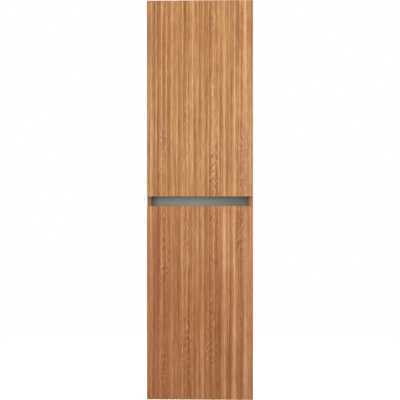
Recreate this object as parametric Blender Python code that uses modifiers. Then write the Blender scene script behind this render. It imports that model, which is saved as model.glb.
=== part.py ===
"""Tall wall cabinet with two reeded timber doors and a recessed handle profile between them.

Metres, +Z up. The front faces -Y and the rear edges lie on the wall at Y = 0. The origin is
the middle of the top panel's rear edge, where the cabinet meets the wall.
Both doors hang on concealed cup hinges at the left, and each door opens clockwise from above.
"""
import math

import bmesh
import bpy
from mathutils import Matrix

# Carcass
CABINET_WIDTH = 0.400
CABINET_HEIGHT = 1.500
CARCASS_DEPTH = 0.3248
PANEL_THICKNESS = 0.016
SEAT_GAP = 0.0003

# Back panel, held in grooves of the sides, top and bottom
BACK_THICKNESS = 0.004
BACK_INSET = 0.016
BACK_TONGUE = 0.006

# Doors and the finger slot between them
UPPER_DOOR_HEIGHT = 0.736
FINGER_SLOT_HEIGHT = 0.036
DOOR_THICKNESS = 0.022
DOOR_STANDOFF = 0.0032
DOOR_REVEAL = 0.0005
WIDE_REED = 0.0252
NARROW_REED = 0.0141
LEAST_EDGE_LAND = 0.001
REED_CROWN = 0.004

# Handle profile, a C-section whose hollow reaches behind both door edges
PROFILE_DEPTH = 0.036
PROFILE_WALL = 0.0015
PROFILE_OVERLAP = 0.016
PROFILE_CORNER = 0.010
PROFILE_LIP = 0.005
BRACKET_LEG = 0.026
BRACKET_HEIGHT = 0.012
BRACKET_WALL = 0.003
BRACKET_SCREW_FROM_CORNER = 0.017

# Adjustable shelves, their pins and the rows of holes that take the pins
SHELVES_PER_BAY = 2
SHELF_FRONT_SETBACK = 0.020
SHELF_REAR_CLEARANCE = 0.002
PIN_SHANK_RADIUS = 0.0025
PIN_SHANK_LENGTH = 0.010
PIN_HEAD_RADIUS = 0.0035
PIN_HEAD_LENGTH = 0.008
PIN_COLLAR_RADIUS = 0.0055
PIN_COLLAR_THICKNESS = 0.0008
PIN_END_FACE = 0.8
PIN_END_CHAMFER = 0.3
FRONT_ROW_SETBACK = 0.037
REAR_ROW_SETBACK = 0.040
HOLE_PITCH = 0.032
SPARE_HOLES = 1

# Concealed hinges
HINGE_FROM_DOOR_END = 0.100
PIVOT_FROM_EDGE = 0.008
PIVOT_FROM_BACK = 0.0105
CUP_RADIUS = 0.0172
CUP_WALL = 0.001
CUP_EDGE_LAND = 0.0035
CUP_FLANGE_RADIUS = 0.0188
CUP_FLANGE_THICKNESS = 0.0012
CUP_EAR_LENGTH = 0.0265
CUP_EAR_WIDTH = 0.013
EAR_OF_FLANGE = 0.8
HINGE_PIN_RADIUS = 0.001
EYE_WALL = 0.0008
ARM_WALL = 0.0026
ARM_HOOK_RADIUS = 0.0157
ARM_STEP = 0.013
ARM_HOOK_WIDTH = 0.009
ARM_EYE_WIDTH = 0.0088
ARM_BODY_WIDTH = 0.015
ARM_BODY_HEIGHT = 0.005
ARM_BODY_START = 0.012
ARM_LENGTH = 0.062
ARM_SCREW_RADIUS = 0.0035
ARM_SCREWS_FROM_END = (0.010, 0.033)
PLATE_WIDTH = 0.018
PLATE_WING_SPAN = 0.050
PLATE_WING_WIDTH = 0.014
PLATE_WING_THICKNESS = 0.0022
WING_OF_PLATE = 0.8
PLATE_SCREW_RADIUS = 0.0025

# Door bumpers on the free side
BUMPER_RADIUS = 0.0045
BUMPER_FROM_DOOR_END = 0.050
BUMPER_DOME = ((0.55, 0.94), (0.85, 0.66), (1.0, 0.25))

# Cabinet hangers in the top rear corners
HANGER_WIDTH = 0.018
HANGER_DEPTH = 0.045
HANGER_HEIGHT = 0.060
HANGER_SCREW_RADIUS = 0.004
HANGER_SCREW_DEPTH = 0.0045
HANGER_SCREW_DROPS = (0.018, 0.041)
HOOK_REACH = 0.027
HOOK_THICKNESS = 0.003
HOOK_SHANK_HEIGHT = 0.009
HOOK_DROP = 0.030
HOOK_TIP_THICKNESS = 0.0034
HOOK_TIP_LENGTH = 0.010
WALL_PLATE_WIDTH = 0.052
WALL_PLATE_HEIGHT = 0.040
WALL_PLATE_WALL = 0.002
WALL_PLATE_LIP = 0.014
WALL_PLATE_SCREW_RADIUS = 0.0035
NOTCH_MARGIN = 0.004

# Softened edges and facets
BOARD_EDGE_RADIUS = 0.0006
FITTING_EDGE_RADIUS = 0.0008
ROUND_SIDES = 24
SMALL_ROUND_SIDES = 12
WIDE_REED_STEPS = 7
NARROW_REED_STEPS = 6

# Places that follow from the sizes above
TOP_Z = PANEL_THICKNESS / 2
BOTTOM_Z = TOP_Z - CABINET_HEIGHT
HALF_WIDTH = CABINET_WIDTH / 2
INNER_HALF_WIDTH = HALF_WIDTH - PANEL_THICKNESS
CARCASS_FRONT_Y = -CARCASS_DEPTH
BACK_PANEL_FRONT_Y = -BACK_INSET - BACK_THICKNESS
BACK_PANEL_REAR_Y = -BACK_INSET
BACK_PANEL_LOW_Z = BOTTOM_Z + PANEL_THICKNESS - BACK_TONGUE
BACK_PANEL_HIGH_Z = TOP_Z - PANEL_THICKNESS + BACK_TONGUE
UPPER_DOOR_TOP_Z = TOP_Z - DOOR_REVEAL
UPPER_DOOR_BOTTOM_Z = UPPER_DOOR_TOP_Z - UPPER_DOOR_HEIGHT
LOWER_DOOR_TOP_Z = UPPER_DOOR_BOTTOM_Z - FINGER_SLOT_HEIGHT
LOWER_DOOR_BOTTOM_Z = BOTTOM_Z + DOOR_REVEAL
SLOT_Z = (UPPER_DOOR_BOTTOM_Z + LOWER_DOOR_TOP_Z) / 2
DOOR_WIDTH = CABINET_WIDTH - 2 * DOOR_REVEAL
DOOR_BACK_Y = CARCASS_FRONT_Y - DOOR_STANDOFF
PIVOT_X = -DOOR_WIDTH / 2 + PIVOT_FROM_EDGE
PIVOT_Y = DOOR_BACK_Y - PIVOT_FROM_BACK
PROFILE_REAR_Y = CARCASS_FRONT_Y + PROFILE_DEPTH
FIXED_SHELF_FRONT_Y = PROFILE_REAR_Y + SEAT_GAP
FIXED_SHELF_TOP_Z = SLOT_Z + PANEL_THICKNESS / 2
FIXED_SHELF_BOTTOM_Z = SLOT_Z - PANEL_THICKNESS / 2
UPPER_BAY = (FIXED_SHELF_TOP_Z, TOP_Z - PANEL_THICKNESS)
LOWER_BAY = (BOTTOM_Z + PANEL_THICKNESS, FIXED_SHELF_BOTTOM_Z)
FRONT_ROW_Y = CARCASS_FRONT_Y + FRONT_ROW_SETBACK
REAR_ROW_Y = BACK_PANEL_FRONT_Y - REAR_ROW_SETBACK
SIDES = (("left", -1), ("right", 1))
DOORS = (("upper", UPPER_DOOR_BOTTOM_Z, UPPER_DOOR_TOP_Z), ("lower", LOWER_DOOR_BOTTOM_Z, LOWER_DOOR_TOP_Z))

# Directions that a piece's own Z is turned to, and how far a cutter runs past a face
ALONG_X = (math.radians(90), 0, math.radians(90))
TO_RIGHT = (0, math.radians(90), 0)
TO_LEFT = (0, math.radians(-90), 0)
TO_WALL = (math.radians(-90), 0, 0)
TO_FRONT = (math.radians(90), 0, 0)
CUT_MARGIN = 0.002
MERGE_DISTANCE = 0.00001


def clear_scene():
    """Remove what a new file holds."""
    for item in list(bpy.data.objects):
        bpy.data.objects.remove(item, do_unlink=True)


def new_collection(name):
    """Add a collection to the scene."""
    collection = bpy.data.collections.new(name)
    bpy.context.scene.collection.children.link(collection)
    return collection


clear_scene()
PARTS = new_collection("tall_wall_cabinet")
CUTTERS = new_collection("cutters")


def make_material(name, colour, roughness, metallic=0.0):
    """A plain surface with a base colour, roughness and metallic value."""
    material = bpy.data.materials.new(name)
    material.use_nodes = True
    shader = material.node_tree.nodes["Principled BSDF"]
    shader.inputs["Base Color"].default_value = (*colour, 1.0)
    shader.inputs["Roughness"].default_value = roughness
    shader.inputs["Metallic"].default_value = metallic
    material.diffuse_color = (*colour, 1.0)
    return material


REEDED_TIMBER = make_material("reeded_timber", (0.48, 0.24, 0.12), 0.42)
CARCASS_BOARD = make_material("carcass_board", (0.40, 0.20, 0.11), 0.50)
BACK_BOARD = make_material("back_board", (0.42, 0.25, 0.15), 0.60)
HANDLE_ALUMINIUM = make_material("handle_aluminium", (0.30, 0.29, 0.26), 0.40, 1.0)
BRACKET_PLASTIC = make_material("bracket_plastic", (0.25, 0.25, 0.25), 0.55)
PIN_STEEL = make_material("pin_steel", (0.62, 0.61, 0.59), 0.30, 1.0)
HINGE_STEEL = make_material("hinge_steel", (0.66, 0.65, 0.63), 0.25, 1.0)
HANGER_ZINC = make_material("hanger_zinc", (0.55, 0.55, 0.54), 0.45, 1.0)
WALL_PLATE_STEEL = make_material("wall_plate_steel", (0.58, 0.58, 0.57), 0.40, 1.0)
BUMPER_RUBBER = make_material("bumper_rubber", (0.70, 0.69, 0.66), 0.60)


def add_part(name, mesh, material, location=(0, 0, 0), rotation=(0, 0, 0), parent=None):
    """Put a mesh in the cabinet's collection, as a named piece with its material."""
    part = bpy.data.objects.new(name, mesh)
    PARTS.objects.link(part)
    mesh.materials.clear()
    mesh.materials.append(material)
    place(part, location, rotation, parent)
    return part


def add_cutter(name, mesh, location=(0, 0, 0), rotation=(0, 0, 0), parent=None):
    """Put a mesh in the cutters' collection, hidden from renders."""
    cutter = bpy.data.objects.new(name, mesh)
    CUTTERS.objects.link(cutter)
    cutter.hide_render = True
    cutter.display_type = "WIRE"
    place(cutter, location, rotation, parent)
    return cutter


def place(item, location, rotation, parent):
    """Set where a piece is, beside the empty that carries it if it has one."""
    item.location = location
    item.rotation_euler = rotation
    if parent is not None:
        item.parent = parent


def box_mesh(name, size):
    """A box about its own middle."""
    mesh = bpy.data.meshes.new(name)
    shape = bmesh.new()
    bmesh.ops.create_cube(shape, size=1.0)
    bmesh.ops.scale(shape, vec=size, verts=shape.verts)
    shape.to_mesh(mesh)
    shape.free()
    return mesh


def rod_mesh(name, radius, length, sides):
    """A round rod along its own Z, about its own middle."""
    mesh = bpy.data.meshes.new(name)
    shape = bmesh.new()
    bmesh.ops.create_cone(shape, cap_ends=True, segments=sides, radius1=radius, radius2=radius, depth=length)
    shape.to_mesh(mesh)
    shape.free()
    round_off(mesh)
    return mesh


def round_off(mesh):
    """Shade a round piece smooth, with its corners kept sharp."""
    mesh.shade_smooth()
    mesh.set_sharp_from_angle(angle=math.radians(35))


def outline_mesh(name, points, thickness):
    """A flat outline in the XY plane, made solid by half the thickness up and half down."""
    curve = bpy.data.curves.new(name, "CURVE")
    curve.dimensions = "2D"
    curve.fill_mode = "BOTH"
    curve.extrude = thickness / 2
    spline = curve.splines.new("POLY")
    spline.points.add(len(points) - 1)
    for point, (x, y) in zip(spline.points, points):
        point.co = (x, y, 0.0, 1.0)
    spline.use_cyclic_u = True
    holder = bpy.data.objects.new(name, curve)
    CUTTERS.objects.link(holder)
    bpy.context.view_layer.update()
    solid = holder.evaluated_get(bpy.context.evaluated_depsgraph_get())
    mesh = bpy.data.meshes.new_from_object(solid)
    bpy.data.objects.remove(holder, do_unlink=True)
    shape = bmesh.new()
    shape.from_mesh(mesh)
    bmesh.ops.remove_doubles(shape, verts=shape.verts, dist=MERGE_DISTANCE)
    bmesh.ops.recalc_face_normals(shape, faces=shape.faces)
    shape.to_mesh(mesh)
    shape.free()
    return mesh


def strip_mesh(name, points, width):
    """An open sheet: a line of points in the XY plane, swept along Z about its middle."""
    mesh = bpy.data.meshes.new(name)
    shape = bmesh.new()
    line = [shape.verts.new((x, y, -width / 2)) for x, y in points]
    edges = [shape.edges.new(pair) for pair in zip(line, line[1:])]
    swept = bmesh.ops.extrude_edge_only(shape, edges=edges)["geom"]
    moved = [item for item in swept if isinstance(item, bmesh.types.BMVert)]
    bmesh.ops.translate(shape, vec=(0, 0, width), verts=moved)
    bmesh.ops.recalc_face_normals(shape, faces=shape.faces)
    shape.to_mesh(mesh)
    shape.free()
    return mesh


def add_turned(name, profile, sides, material, location, rotation, parent=None):
    """A turned piece: a profile of radius and height, spun about its own Z."""
    mesh = bpy.data.meshes.new(name)
    mesh.from_pydata([(radius, 0, height) for radius, height in profile],
                     [(step, step + 1) for step in range(len(profile) - 1)], [])
    part = add_part(name, mesh, material, location, rotation, parent)
    spin = part.modifiers.new("turn", "SCREW")
    spin.steps = sides
    spin.render_steps = sides
    spin.use_merge_vertices = True
    spin.merge_threshold = MERGE_DISTANCE
    spin.use_smooth_shade = True
    return part


def thicken(part, thickness):
    """Give an open sheet its wall, half to each side."""
    wall = part.modifiers.new("wall", "SOLIDIFY")
    wall.thickness = thickness
    wall.offset = 0.0
    wall.use_even_offset = True


def soften(part, radius, segments=1):
    """Take the sharpness off a piece's edges."""
    bevel = part.modifiers.new("softened_edges", "BEVEL")
    bevel.width = radius
    bevel.segments = segments
    bevel.limit_method = "ANGLE"
    bevel.angle_limit = math.radians(50)


def cut(part, cutter):
    """Take the cutter's shape out of a piece."""
    combine(part, cutter, "DIFFERENCE")


def fuse(part, addition):
    """Make the addition's shape part of a piece."""
    combine(part, addition, "UNION")


def combine(part, operand, operation):
    """Add an exact Boolean to a piece."""
    boolean = part.modifiers.new(operand.name, "BOOLEAN")
    boolean.operation = operation
    boolean.solver = "EXACT"
    boolean.object = operand


def add_board(name, low, high, material):
    """A softened board between two corners."""
    size = [top - bottom for bottom, top in zip(low, high)]
    middle = [(top + bottom) / 2 for bottom, top in zip(low, high)]
    board = add_part(name, box_mesh(name, size), material, middle)
    soften(board, BOARD_EDGE_RADIUS)
    return board


def box_cutter(name, low, high):
    """A cutter that fills the space between two corners."""
    size = [top - bottom for bottom, top in zip(low, high)]
    middle = [(top + bottom) / 2 for bottom, top in zip(low, high)]
    return add_cutter(name, box_mesh(name, size), middle)


def arc_points(middle, radius, start, end, steps):
    """Points along an arc, with angles in degrees."""
    points = []
    for step in range(steps + 1):
        angle = math.radians(start + (end - start) * step / steps)
        points.append((middle[0] + radius * math.cos(angle), middle[1] + radius * math.sin(angle)))
    return points


def shelf_levels(bay):
    """Heights of the middles of the adjustable shelves that share out one bay."""
    low, high = bay
    pitch = (high - low) / (SHELVES_PER_BAY + 1)
    return [high - pitch * (number + 1) for number in range(SHELVES_PER_BAY)]


def pin_height(level):
    """Height of the pins under a shelf whose middle is at this level."""
    return level - PANEL_THICKNESS / 2 - SEAT_GAP - PIN_HEAD_RADIUS


def make_sides():
    """Both side panels, with the groove for the back panel and the rows of pin holes."""
    for side, sign in SIDES:
        outer = sign * HALF_WIDTH
        inner = sign * INNER_HALF_WIDTH
        low = (min(outer, inner), CARCASS_FRONT_Y, BOTTOM_Z)
        high = (max(outer, inner), 0, TOP_Z)
        panel = add_board(f"side_panel_{side}", low, high, CARCASS_BOARD)
        groove_ends = (inner - sign * CUT_MARGIN, inner + sign * (BACK_TONGUE + SEAT_GAP))
        groove = box_cutter(f"side_groove_{side}",
                            (min(groove_ends), BACK_PANEL_FRONT_Y - SEAT_GAP, BACK_PANEL_LOW_Z - SEAT_GAP),
                            (max(groove_ends), BACK_PANEL_REAR_Y + SEAT_GAP, BACK_PANEL_HIGH_Z + SEAT_GAP))
        cut(panel, groove)
        drill_pin_holes(panel, side, sign)


def drill_pin_holes(panel, side, sign):
    """Holes for the shelf pins, and spare ones above and below each, cut all at once."""
    radius = PIN_SHANK_RADIUS + SEAT_GAP
    depth = PIN_SHANK_LENGTH + SEAT_GAP
    middle_x = sign * (INNER_HALF_WIDTH + (depth - CUT_MARGIN) / 2)
    turned = Matrix.Rotation(TO_RIGHT[1], 4, "Y")
    mesh = bpy.data.meshes.new(f"pin_holes_{side}")
    shape = bmesh.new()
    for level in shelf_levels(UPPER_BAY) + shelf_levels(LOWER_BAY):
        for row_y in (FRONT_ROW_Y, REAR_ROW_Y):
            for step in range(-SPARE_HOLES, SPARE_HOLES + 1):
                middle = Matrix.Translation((middle_x, row_y, pin_height(level) + step * HOLE_PITCH))
                bmesh.ops.create_cone(shape, cap_ends=True, segments=SMALL_ROUND_SIDES, radius1=radius,
                                      radius2=radius, depth=depth + CUT_MARGIN, matrix=middle @ turned)
    shape.to_mesh(mesh)
    shape.free()
    cut(panel, add_cutter(f"pin_holes_{side}", mesh))


def make_top_and_bottom():
    """The top and bottom panels between the sides, each grooved for the back panel."""
    reach = INNER_HALF_WIDTH - SEAT_GAP
    for name, low_z in (("top_panel", TOP_Z - PANEL_THICKNESS), ("bottom_panel", BOTTOM_Z)):
        panel = add_board(name, (-reach, CARCASS_FRONT_Y, low_z), (reach, 0, low_z + PANEL_THICKNESS),
                          CARCASS_BOARD)
        if name == "top_panel":
            groove_z = (low_z - CUT_MARGIN, BACK_PANEL_HIGH_Z + SEAT_GAP)
        else:
            groove_z = (BACK_PANEL_LOW_Z - SEAT_GAP, low_z + PANEL_THICKNESS + CUT_MARGIN)
        groove = box_cutter(f"{name}_groove",
                            (-HALF_WIDTH, BACK_PANEL_FRONT_Y - SEAT_GAP, groove_z[0]),
                            (HALF_WIDTH, BACK_PANEL_REAR_Y + SEAT_GAP, groove_z[1]))
        cut(panel, groove)


def make_back_panel():
    """The back panel in its grooves, notched in the top corners where the hanger hooks pass."""
    half = INNER_HALF_WIDTH + BACK_TONGUE
    mesh = box_mesh("back_panel", (2 * half, BACK_THICKNESS, BACK_PANEL_HIGH_Z - BACK_PANEL_LOW_Z))
    panel = add_part("back_panel", mesh, BACK_BOARD,
                     (0, (BACK_PANEL_FRONT_Y + BACK_PANEL_REAR_Y) / 2,
                      (BACK_PANEL_LOW_Z + BACK_PANEL_HIGH_Z) / 2))
    notch_reach = SEAT_GAP + HANGER_WIDTH / 2 + HOOK_THICKNESS / 2 + NOTCH_MARGIN
    notch_low = hook_height() - HOOK_SHANK_HEIGHT - NOTCH_MARGIN
    for side, sign in SIDES:
        ends = (sign * (half + CUT_MARGIN), sign * (INNER_HALF_WIDTH - notch_reach))
        notch = box_cutter(f"back_notch_{side}",
                           (min(ends), BACK_PANEL_FRONT_Y - CUT_MARGIN, notch_low),
                           (max(ends), BACK_PANEL_REAR_Y + CUT_MARGIN, BACK_PANEL_HIGH_Z + CUT_MARGIN))
        cut(panel, notch)


def make_fixed_shelf():
    """The fixed shelf at the height of the slot, whose front edge backs the handle profile."""
    reach = INNER_HALF_WIDTH - SEAT_GAP
    add_board("fixed_shelf", (-reach, FIXED_SHELF_FRONT_Y, FIXED_SHELF_BOTTOM_Z),
              (reach, BACK_PANEL_FRONT_Y - SEAT_GAP, FIXED_SHELF_TOP_Z), CARCASS_BOARD)


def profile_section():
    """Middle line of the handle profile's wall: lip, arm, round corner, back and the same again."""
    half = FINGER_SLOT_HEIGHT / 2 + PROFILE_OVERLAP
    front = CARCASS_FRONT_Y + PROFILE_WALL / 2
    rear = PROFILE_REAR_Y - PROFILE_WALL / 2
    corner = PROFILE_CORNER
    upper = [(front, half + PROFILE_LIP), (front, half)]
    upper += arc_points((rear - corner, half - corner), corner, 90, 0, 6)
    lower = [(y, -z) for y, z in reversed(upper)]
    return upper + lower


def make_handle_profile():
    """The C-shaped handle profile between the side panels."""
    length = 2 * (INNER_HALF_WIDTH - SEAT_GAP)
    mesh = strip_mesh("handle_profile", profile_section(), length)
    profile = add_part("handle_profile", mesh, HANDLE_ALUMINIUM, (0, 0, SLOT_Z), ALONG_X)
    thicken(profile, PROFILE_WALL)


def make_profile_brackets():
    """Angle brackets above and below the fixed shelf that hold the handle profile to the sides."""
    middle = FIXED_SHELF_TOP_Z - SLOT_Z + SEAT_GAP + BRACKET_HEIGHT / 2
    for level, height in (("upper", SLOT_Z + middle), ("lower", SLOT_Z - middle)):
        for side, sign in SIDES:
            wall = BRACKET_WALL
            leg = BRACKET_LEG
            outline = [(0, 0), (leg, 0), (leg, wall), (wall * 2, wall), (wall, wall * 2), (wall, leg), (0, leg)]
            points = [(-sign * x, y) for x, y in outline]
            name = f"profile_bracket_{level}_{side}"
            corner = (sign * (INNER_HALF_WIDTH - SEAT_GAP), PROFILE_REAR_Y + SEAT_GAP, height)
            bracket = add_part(name, outline_mesh(name, points, BRACKET_HEIGHT), BRACKET_PLASTIC, corner)
            screw = add_cutter(f"{name}_screw_hole",
                               rod_mesh("bracket_screw_hole", PLATE_SCREW_RADIUS, 4 * wall, SMALL_ROUND_SIDES),
                               (corner[0], corner[1] + BRACKET_SCREW_FROM_CORNER, height), TO_RIGHT)
            cut(bracket, screw)


def make_shelves():
    """The adjustable shelves on four pins each."""
    reach = INNER_HALF_WIDTH - PIN_COLLAR_THICKNESS - 2 * SEAT_GAP
    front = CARCASS_FRONT_Y + SHELF_FRONT_SETBACK
    rear = BACK_PANEL_FRONT_Y - SHELF_REAR_CLEARANCE
    for bay_name, bay in (("upper", UPPER_BAY), ("lower", LOWER_BAY)):
        for number, level in enumerate(shelf_levels(bay), 1):
            name = f"{bay_name}_shelf_{number}"
            add_board(name, (-reach, front, level - PANEL_THICKNESS / 2),
                      (reach, rear, level + PANEL_THICKNESS / 2), CARCASS_BOARD)
            for side, sign in SIDES:
                for row, row_y in (("front", FRONT_ROW_Y), ("rear", REAR_ROW_Y)):
                    make_shelf_pin(f"{name}_pin_{row}_{side}", sign, row_y, pin_height(level))


def make_shelf_pin(name, sign, row_y, height):
    """A turned shelf pin: shank in the side panel, thin collar on its face and a head."""
    collar_start = SEAT_GAP
    collar_end = collar_start + PIN_COLLAR_THICKNESS
    profile = [(0, PIN_HEAD_LENGTH), (PIN_HEAD_RADIUS * PIN_END_FACE, PIN_HEAD_LENGTH),
               (PIN_HEAD_RADIUS, PIN_HEAD_LENGTH - PIN_HEAD_RADIUS * PIN_END_CHAMFER),
               (PIN_HEAD_RADIUS, collar_end), (PIN_COLLAR_RADIUS, collar_end),
               (PIN_COLLAR_RADIUS, collar_start), (PIN_SHANK_RADIUS, collar_start),
               (PIN_SHANK_RADIUS, -PIN_SHANK_LENGTH), (0, -PIN_SHANK_LENGTH)]
    rotation = TO_LEFT if sign > 0 else TO_RIGHT
    add_turned(name, profile, SMALL_ROUND_SIDES, PIN_STEEL, (sign * INNER_HALF_WIDTH, row_y, height), rotation)


def reed_front(width):
    """Front line of a door: pairs of a wide and a narrow round reed, between even lands at both edges."""
    pair = WIDE_REED + NARROW_REED
    pairs = int((width - 2 * LEAST_EDGE_LAND) / pair)
    left = (width - pairs * pair) / 2
    points = [(0.0, 0.0)]
    for reed, steps in ((WIDE_REED, WIDE_REED_STEPS), (NARROW_REED, NARROW_REED_STEPS)) * pairs:
        radius = (reed ** 2 / 4 + REED_CROWN ** 2) / (2 * REED_CROWN)
        for step in range(steps):
            across = reed * step / steps
            rise = math.sqrt(radius ** 2 - (across - reed / 2) ** 2) - (radius - REED_CROWN)
            points.append((left + across, rise))
        left += reed
    points += [(left, 0.0), (width, 0.0)]
    return points


def door_mesh(name, height):
    """A door leaf about its hinge axis: the reeded front line, swept to the back face and raised."""
    base = PIVOT_FROM_BACK - (DOOR_THICKNESS - REED_CROWN)
    front = [(across - PIVOT_FROM_EDGE, base - rise) for across, rise in reed_front(DOOR_WIDTH)]
    mesh = bpy.data.meshes.new(name)
    shape = bmesh.new()
    line = [shape.verts.new((x, y, -height / 2)) for x, y in front]
    edges = [shape.edges.new(pair) for pair in zip(line, line[1:])]
    swept = bmesh.ops.extrude_edge_only(shape, edges=edges)["geom"]
    for corner in swept:
        if isinstance(corner, bmesh.types.BMVert):
            corner.co.y = PIVOT_FROM_BACK
    raised = bmesh.ops.extrude_face_region(shape, geom=shape.faces[:])["geom"]
    moved = [item for item in raised if isinstance(item, bmesh.types.BMVert)]
    bmesh.ops.translate(shape, vec=(0, 0, height), verts=moved)
    bmesh.ops.recalc_face_normals(shape, faces=shape.faces)
    shape.to_mesh(mesh)
    shape.free()
    return mesh


def cup_floor():
    """Inner floor of the hinge cup, beside the hinge axis."""
    return -(HINGE_PIN_RADIUS + SEAT_GAP + EYE_WALL + 3 * SEAT_GAP)


def cup_centre_x():
    """Middle of the hinge cup, beside the hinge axis."""
    return CUP_EDGE_LAND + CUP_RADIUS + SEAT_GAP - PIVOT_FROM_EDGE


def make_door(level, low_z, high_z):
    """A reeded door on its hinge axis, bored at the back for two hinge cups."""
    axis = bpy.data.objects.new(f"{level}_door_axis", None)
    PARTS.objects.link(axis)
    axis.location = (PIVOT_X, PIVOT_Y, (low_z + high_z) / 2)
    name = f"{level}_door"
    leaf = add_part(name, door_mesh(name, high_z - low_z), REEDED_TIMBER, parent=axis)
    bore_floor = cup_floor() - CUP_WALL - SEAT_GAP
    bore_depth = PIVOT_FROM_BACK - bore_floor + CUT_MARGIN
    reach = (high_z - low_z) / 2 - HINGE_FROM_DOOR_END
    for end, height in (("top", reach), ("bottom", -reach)):
        bore = rod_mesh(f"{name}_cup_bore", CUP_RADIUS + SEAT_GAP, bore_depth, ROUND_SIDES)
        cut(leaf, add_cutter(f"{name}_cup_bore_{end}", bore,
                             (cup_centre_x(), bore_floor + bore_depth / 2, height), TO_WALL, axis))
        make_hinge_cup(f"{level}_hinge_cup_{end}", axis, height)
        make_hinge_pin(f"{level}_hinge_pin_{end}", axis, height)
        make_hinge_arm(f"{level}_hinge_arm_{end}", axis.location.z + height)
        make_hinge_plate(f"{level}_hinge_plate_{end}", axis.location.z + height)
    make_bumpers(level, low_z, high_z)


def make_hinge_cup(name, axis, height):
    """A pressed cup in the door, with a flange and two screw ears on the door's back face."""
    seat = PIVOT_FROM_BACK + SEAT_GAP
    rim = seat + CUP_FLANGE_THICKNESS
    floor = cup_floor()
    inside = CUP_RADIUS - CUP_WALL
    profile = [(0, floor), (inside, floor), (inside, rim), (CUP_FLANGE_RADIUS, rim),
               (CUP_FLANGE_RADIUS, seat), (CUP_RADIUS, seat), (CUP_RADIUS, floor - CUP_WALL),
               (0, floor - CUP_WALL)]
    cup = add_turned(name, profile, ROUND_SIDES, HINGE_STEEL, (cup_centre_x(), 0, height), TO_WALL, axis)
    ear_start = CUP_RADIUS + CUP_WALL / 2
    ear_thickness = CUP_FLANGE_THICKNESS * EAR_OF_FLANGE
    for sign in (-1, 1):
        ear_mesh = box_mesh(f"{name}_ear", (CUP_EAR_WIDTH, ear_thickness, CUP_EAR_LENGTH - ear_start))
        ear = add_cutter(f"{name}_ear", ear_mesh,
                         (cup_centre_x(), seat + CUP_FLANGE_THICKNESS / 2,
                          height + sign * (CUP_EAR_LENGTH + ear_start) / 2), parent=axis)
        fuse(cup, ear)


def make_hinge_pin(name, axis, height):
    """The steel pin across the cup, on the hinge axis."""
    inside = (CUP_RADIUS - CUP_WALL) * math.cos(math.pi / ROUND_SIDES)
    half = math.sqrt(inside ** 2 - (cup_centre_x() + HINGE_PIN_RADIUS) ** 2) - SEAT_GAP
    add_part(name, rod_mesh(name, HINGE_PIN_RADIUS, 2 * half, SMALL_ROUND_SIDES), PIN_STEEL,
             (0, 0, height), parent=axis)


def make_hinge_arm(name, height):
    """The gooseneck arm: an eye round the pin, a hook round the door's edge, and a body on its plate."""
    start = math.degrees(math.acos(ARM_STEP / ARM_HOOK_RADIUS))
    panel_front = CARCASS_FRONT_Y - PIVOT_Y
    end = panel_front + ARM_LENGTH
    eye = HINGE_PIN_RADIUS + SEAT_GAP + EYE_WALL
    line = [(HINGE_PIN_RADIUS + SEAT_GAP + EYE_WALL / 2, 0)]
    line += arc_points((0, 0), ARM_HOOK_RADIUS, 0, start, 6)
    line += [(ARM_STEP, panel_front + ARM_BODY_START + ARM_BODY_HEIGHT)]
    place_at = (PIVOT_X, PIVOT_Y, height)
    arm = add_part(name, strip_mesh(name, line, ARM_HOOK_WIDTH), HINGE_STEEL, place_at)
    thicken(arm, ARM_WALL)
    knuckle = add_cutter(f"{name}_eye", rod_mesh("hinge_eye", eye, ARM_EYE_WIDTH, ROUND_SIDES), place_at)
    fuse(arm, knuckle)
    inner = ARM_STEP - ARM_WALL / 2
    body_start = panel_front + ARM_BODY_START
    body = add_cutter(f"{name}_body", box_mesh("hinge_arm_body", (ARM_BODY_HEIGHT, end - body_start, ARM_BODY_WIDTH)),
                      (PIVOT_X + inner + ARM_BODY_HEIGHT / 2, PIVOT_Y + (body_start + end) / 2, height))
    soften(body, FITTING_EDGE_RADIUS)
    fuse(arm, body)
    pin_hole = rod_mesh("hinge_eye_hole", HINGE_PIN_RADIUS + SEAT_GAP, 2 * ARM_HOOK_WIDTH, SMALL_ROUND_SIDES)
    cut(arm, add_cutter(f"{name}_eye_hole", pin_hole, place_at))
    for from_end in ARM_SCREWS_FROM_END:
        recess = rod_mesh("arm_screw_recess", ARM_SCREW_RADIUS, ARM_BODY_HEIGHT, SMALL_ROUND_SIDES)
        cut(arm, add_cutter(f"{name}_screw_recess", recess,
                            (PIVOT_X + inner + ARM_BODY_HEIGHT, PIVOT_Y + end - from_end, height), TO_RIGHT))


def make_hinge_plate(name, height):
    """The mounting plate on the side panel, with two screw wings on the front row of holes."""
    seat = -INNER_HALF_WIDTH + SEAT_GAP
    top = PIVOT_X + ARM_STEP - ARM_WALL / 2 - SEAT_GAP
    rise = top - seat
    length = 2 * (ARM_LENGTH - FRONT_ROW_SETBACK)
    plate = add_part(name, box_mesh(name, (rise, length, PLATE_WIDTH)), HINGE_STEEL,
                     (seat + rise / 2, FRONT_ROW_Y, height))
    soften(plate, FITTING_EDGE_RADIUS)
    wing_rise = min(PLATE_WING_THICKNESS, rise * WING_OF_PLATE)
    wings = add_cutter(f"{name}_wings", box_mesh("plate_wings", (wing_rise, PLATE_WING_WIDTH, PLATE_WING_SPAN)),
                       (seat + wing_rise / 2, FRONT_ROW_Y, height))
    soften(wings, FITTING_EDGE_RADIUS)
    fuse(plate, wings)
    for sign in (-1, 1):
        hole = rod_mesh("plate_screw_hole", PLATE_SCREW_RADIUS, 4 * rise, SMALL_ROUND_SIDES)
        cut(plate, add_cutter(f"{name}_screw_hole", hole,
                              (seat, FRONT_ROW_Y, height + sign * HOLE_PITCH / 2), TO_RIGHT))


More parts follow.
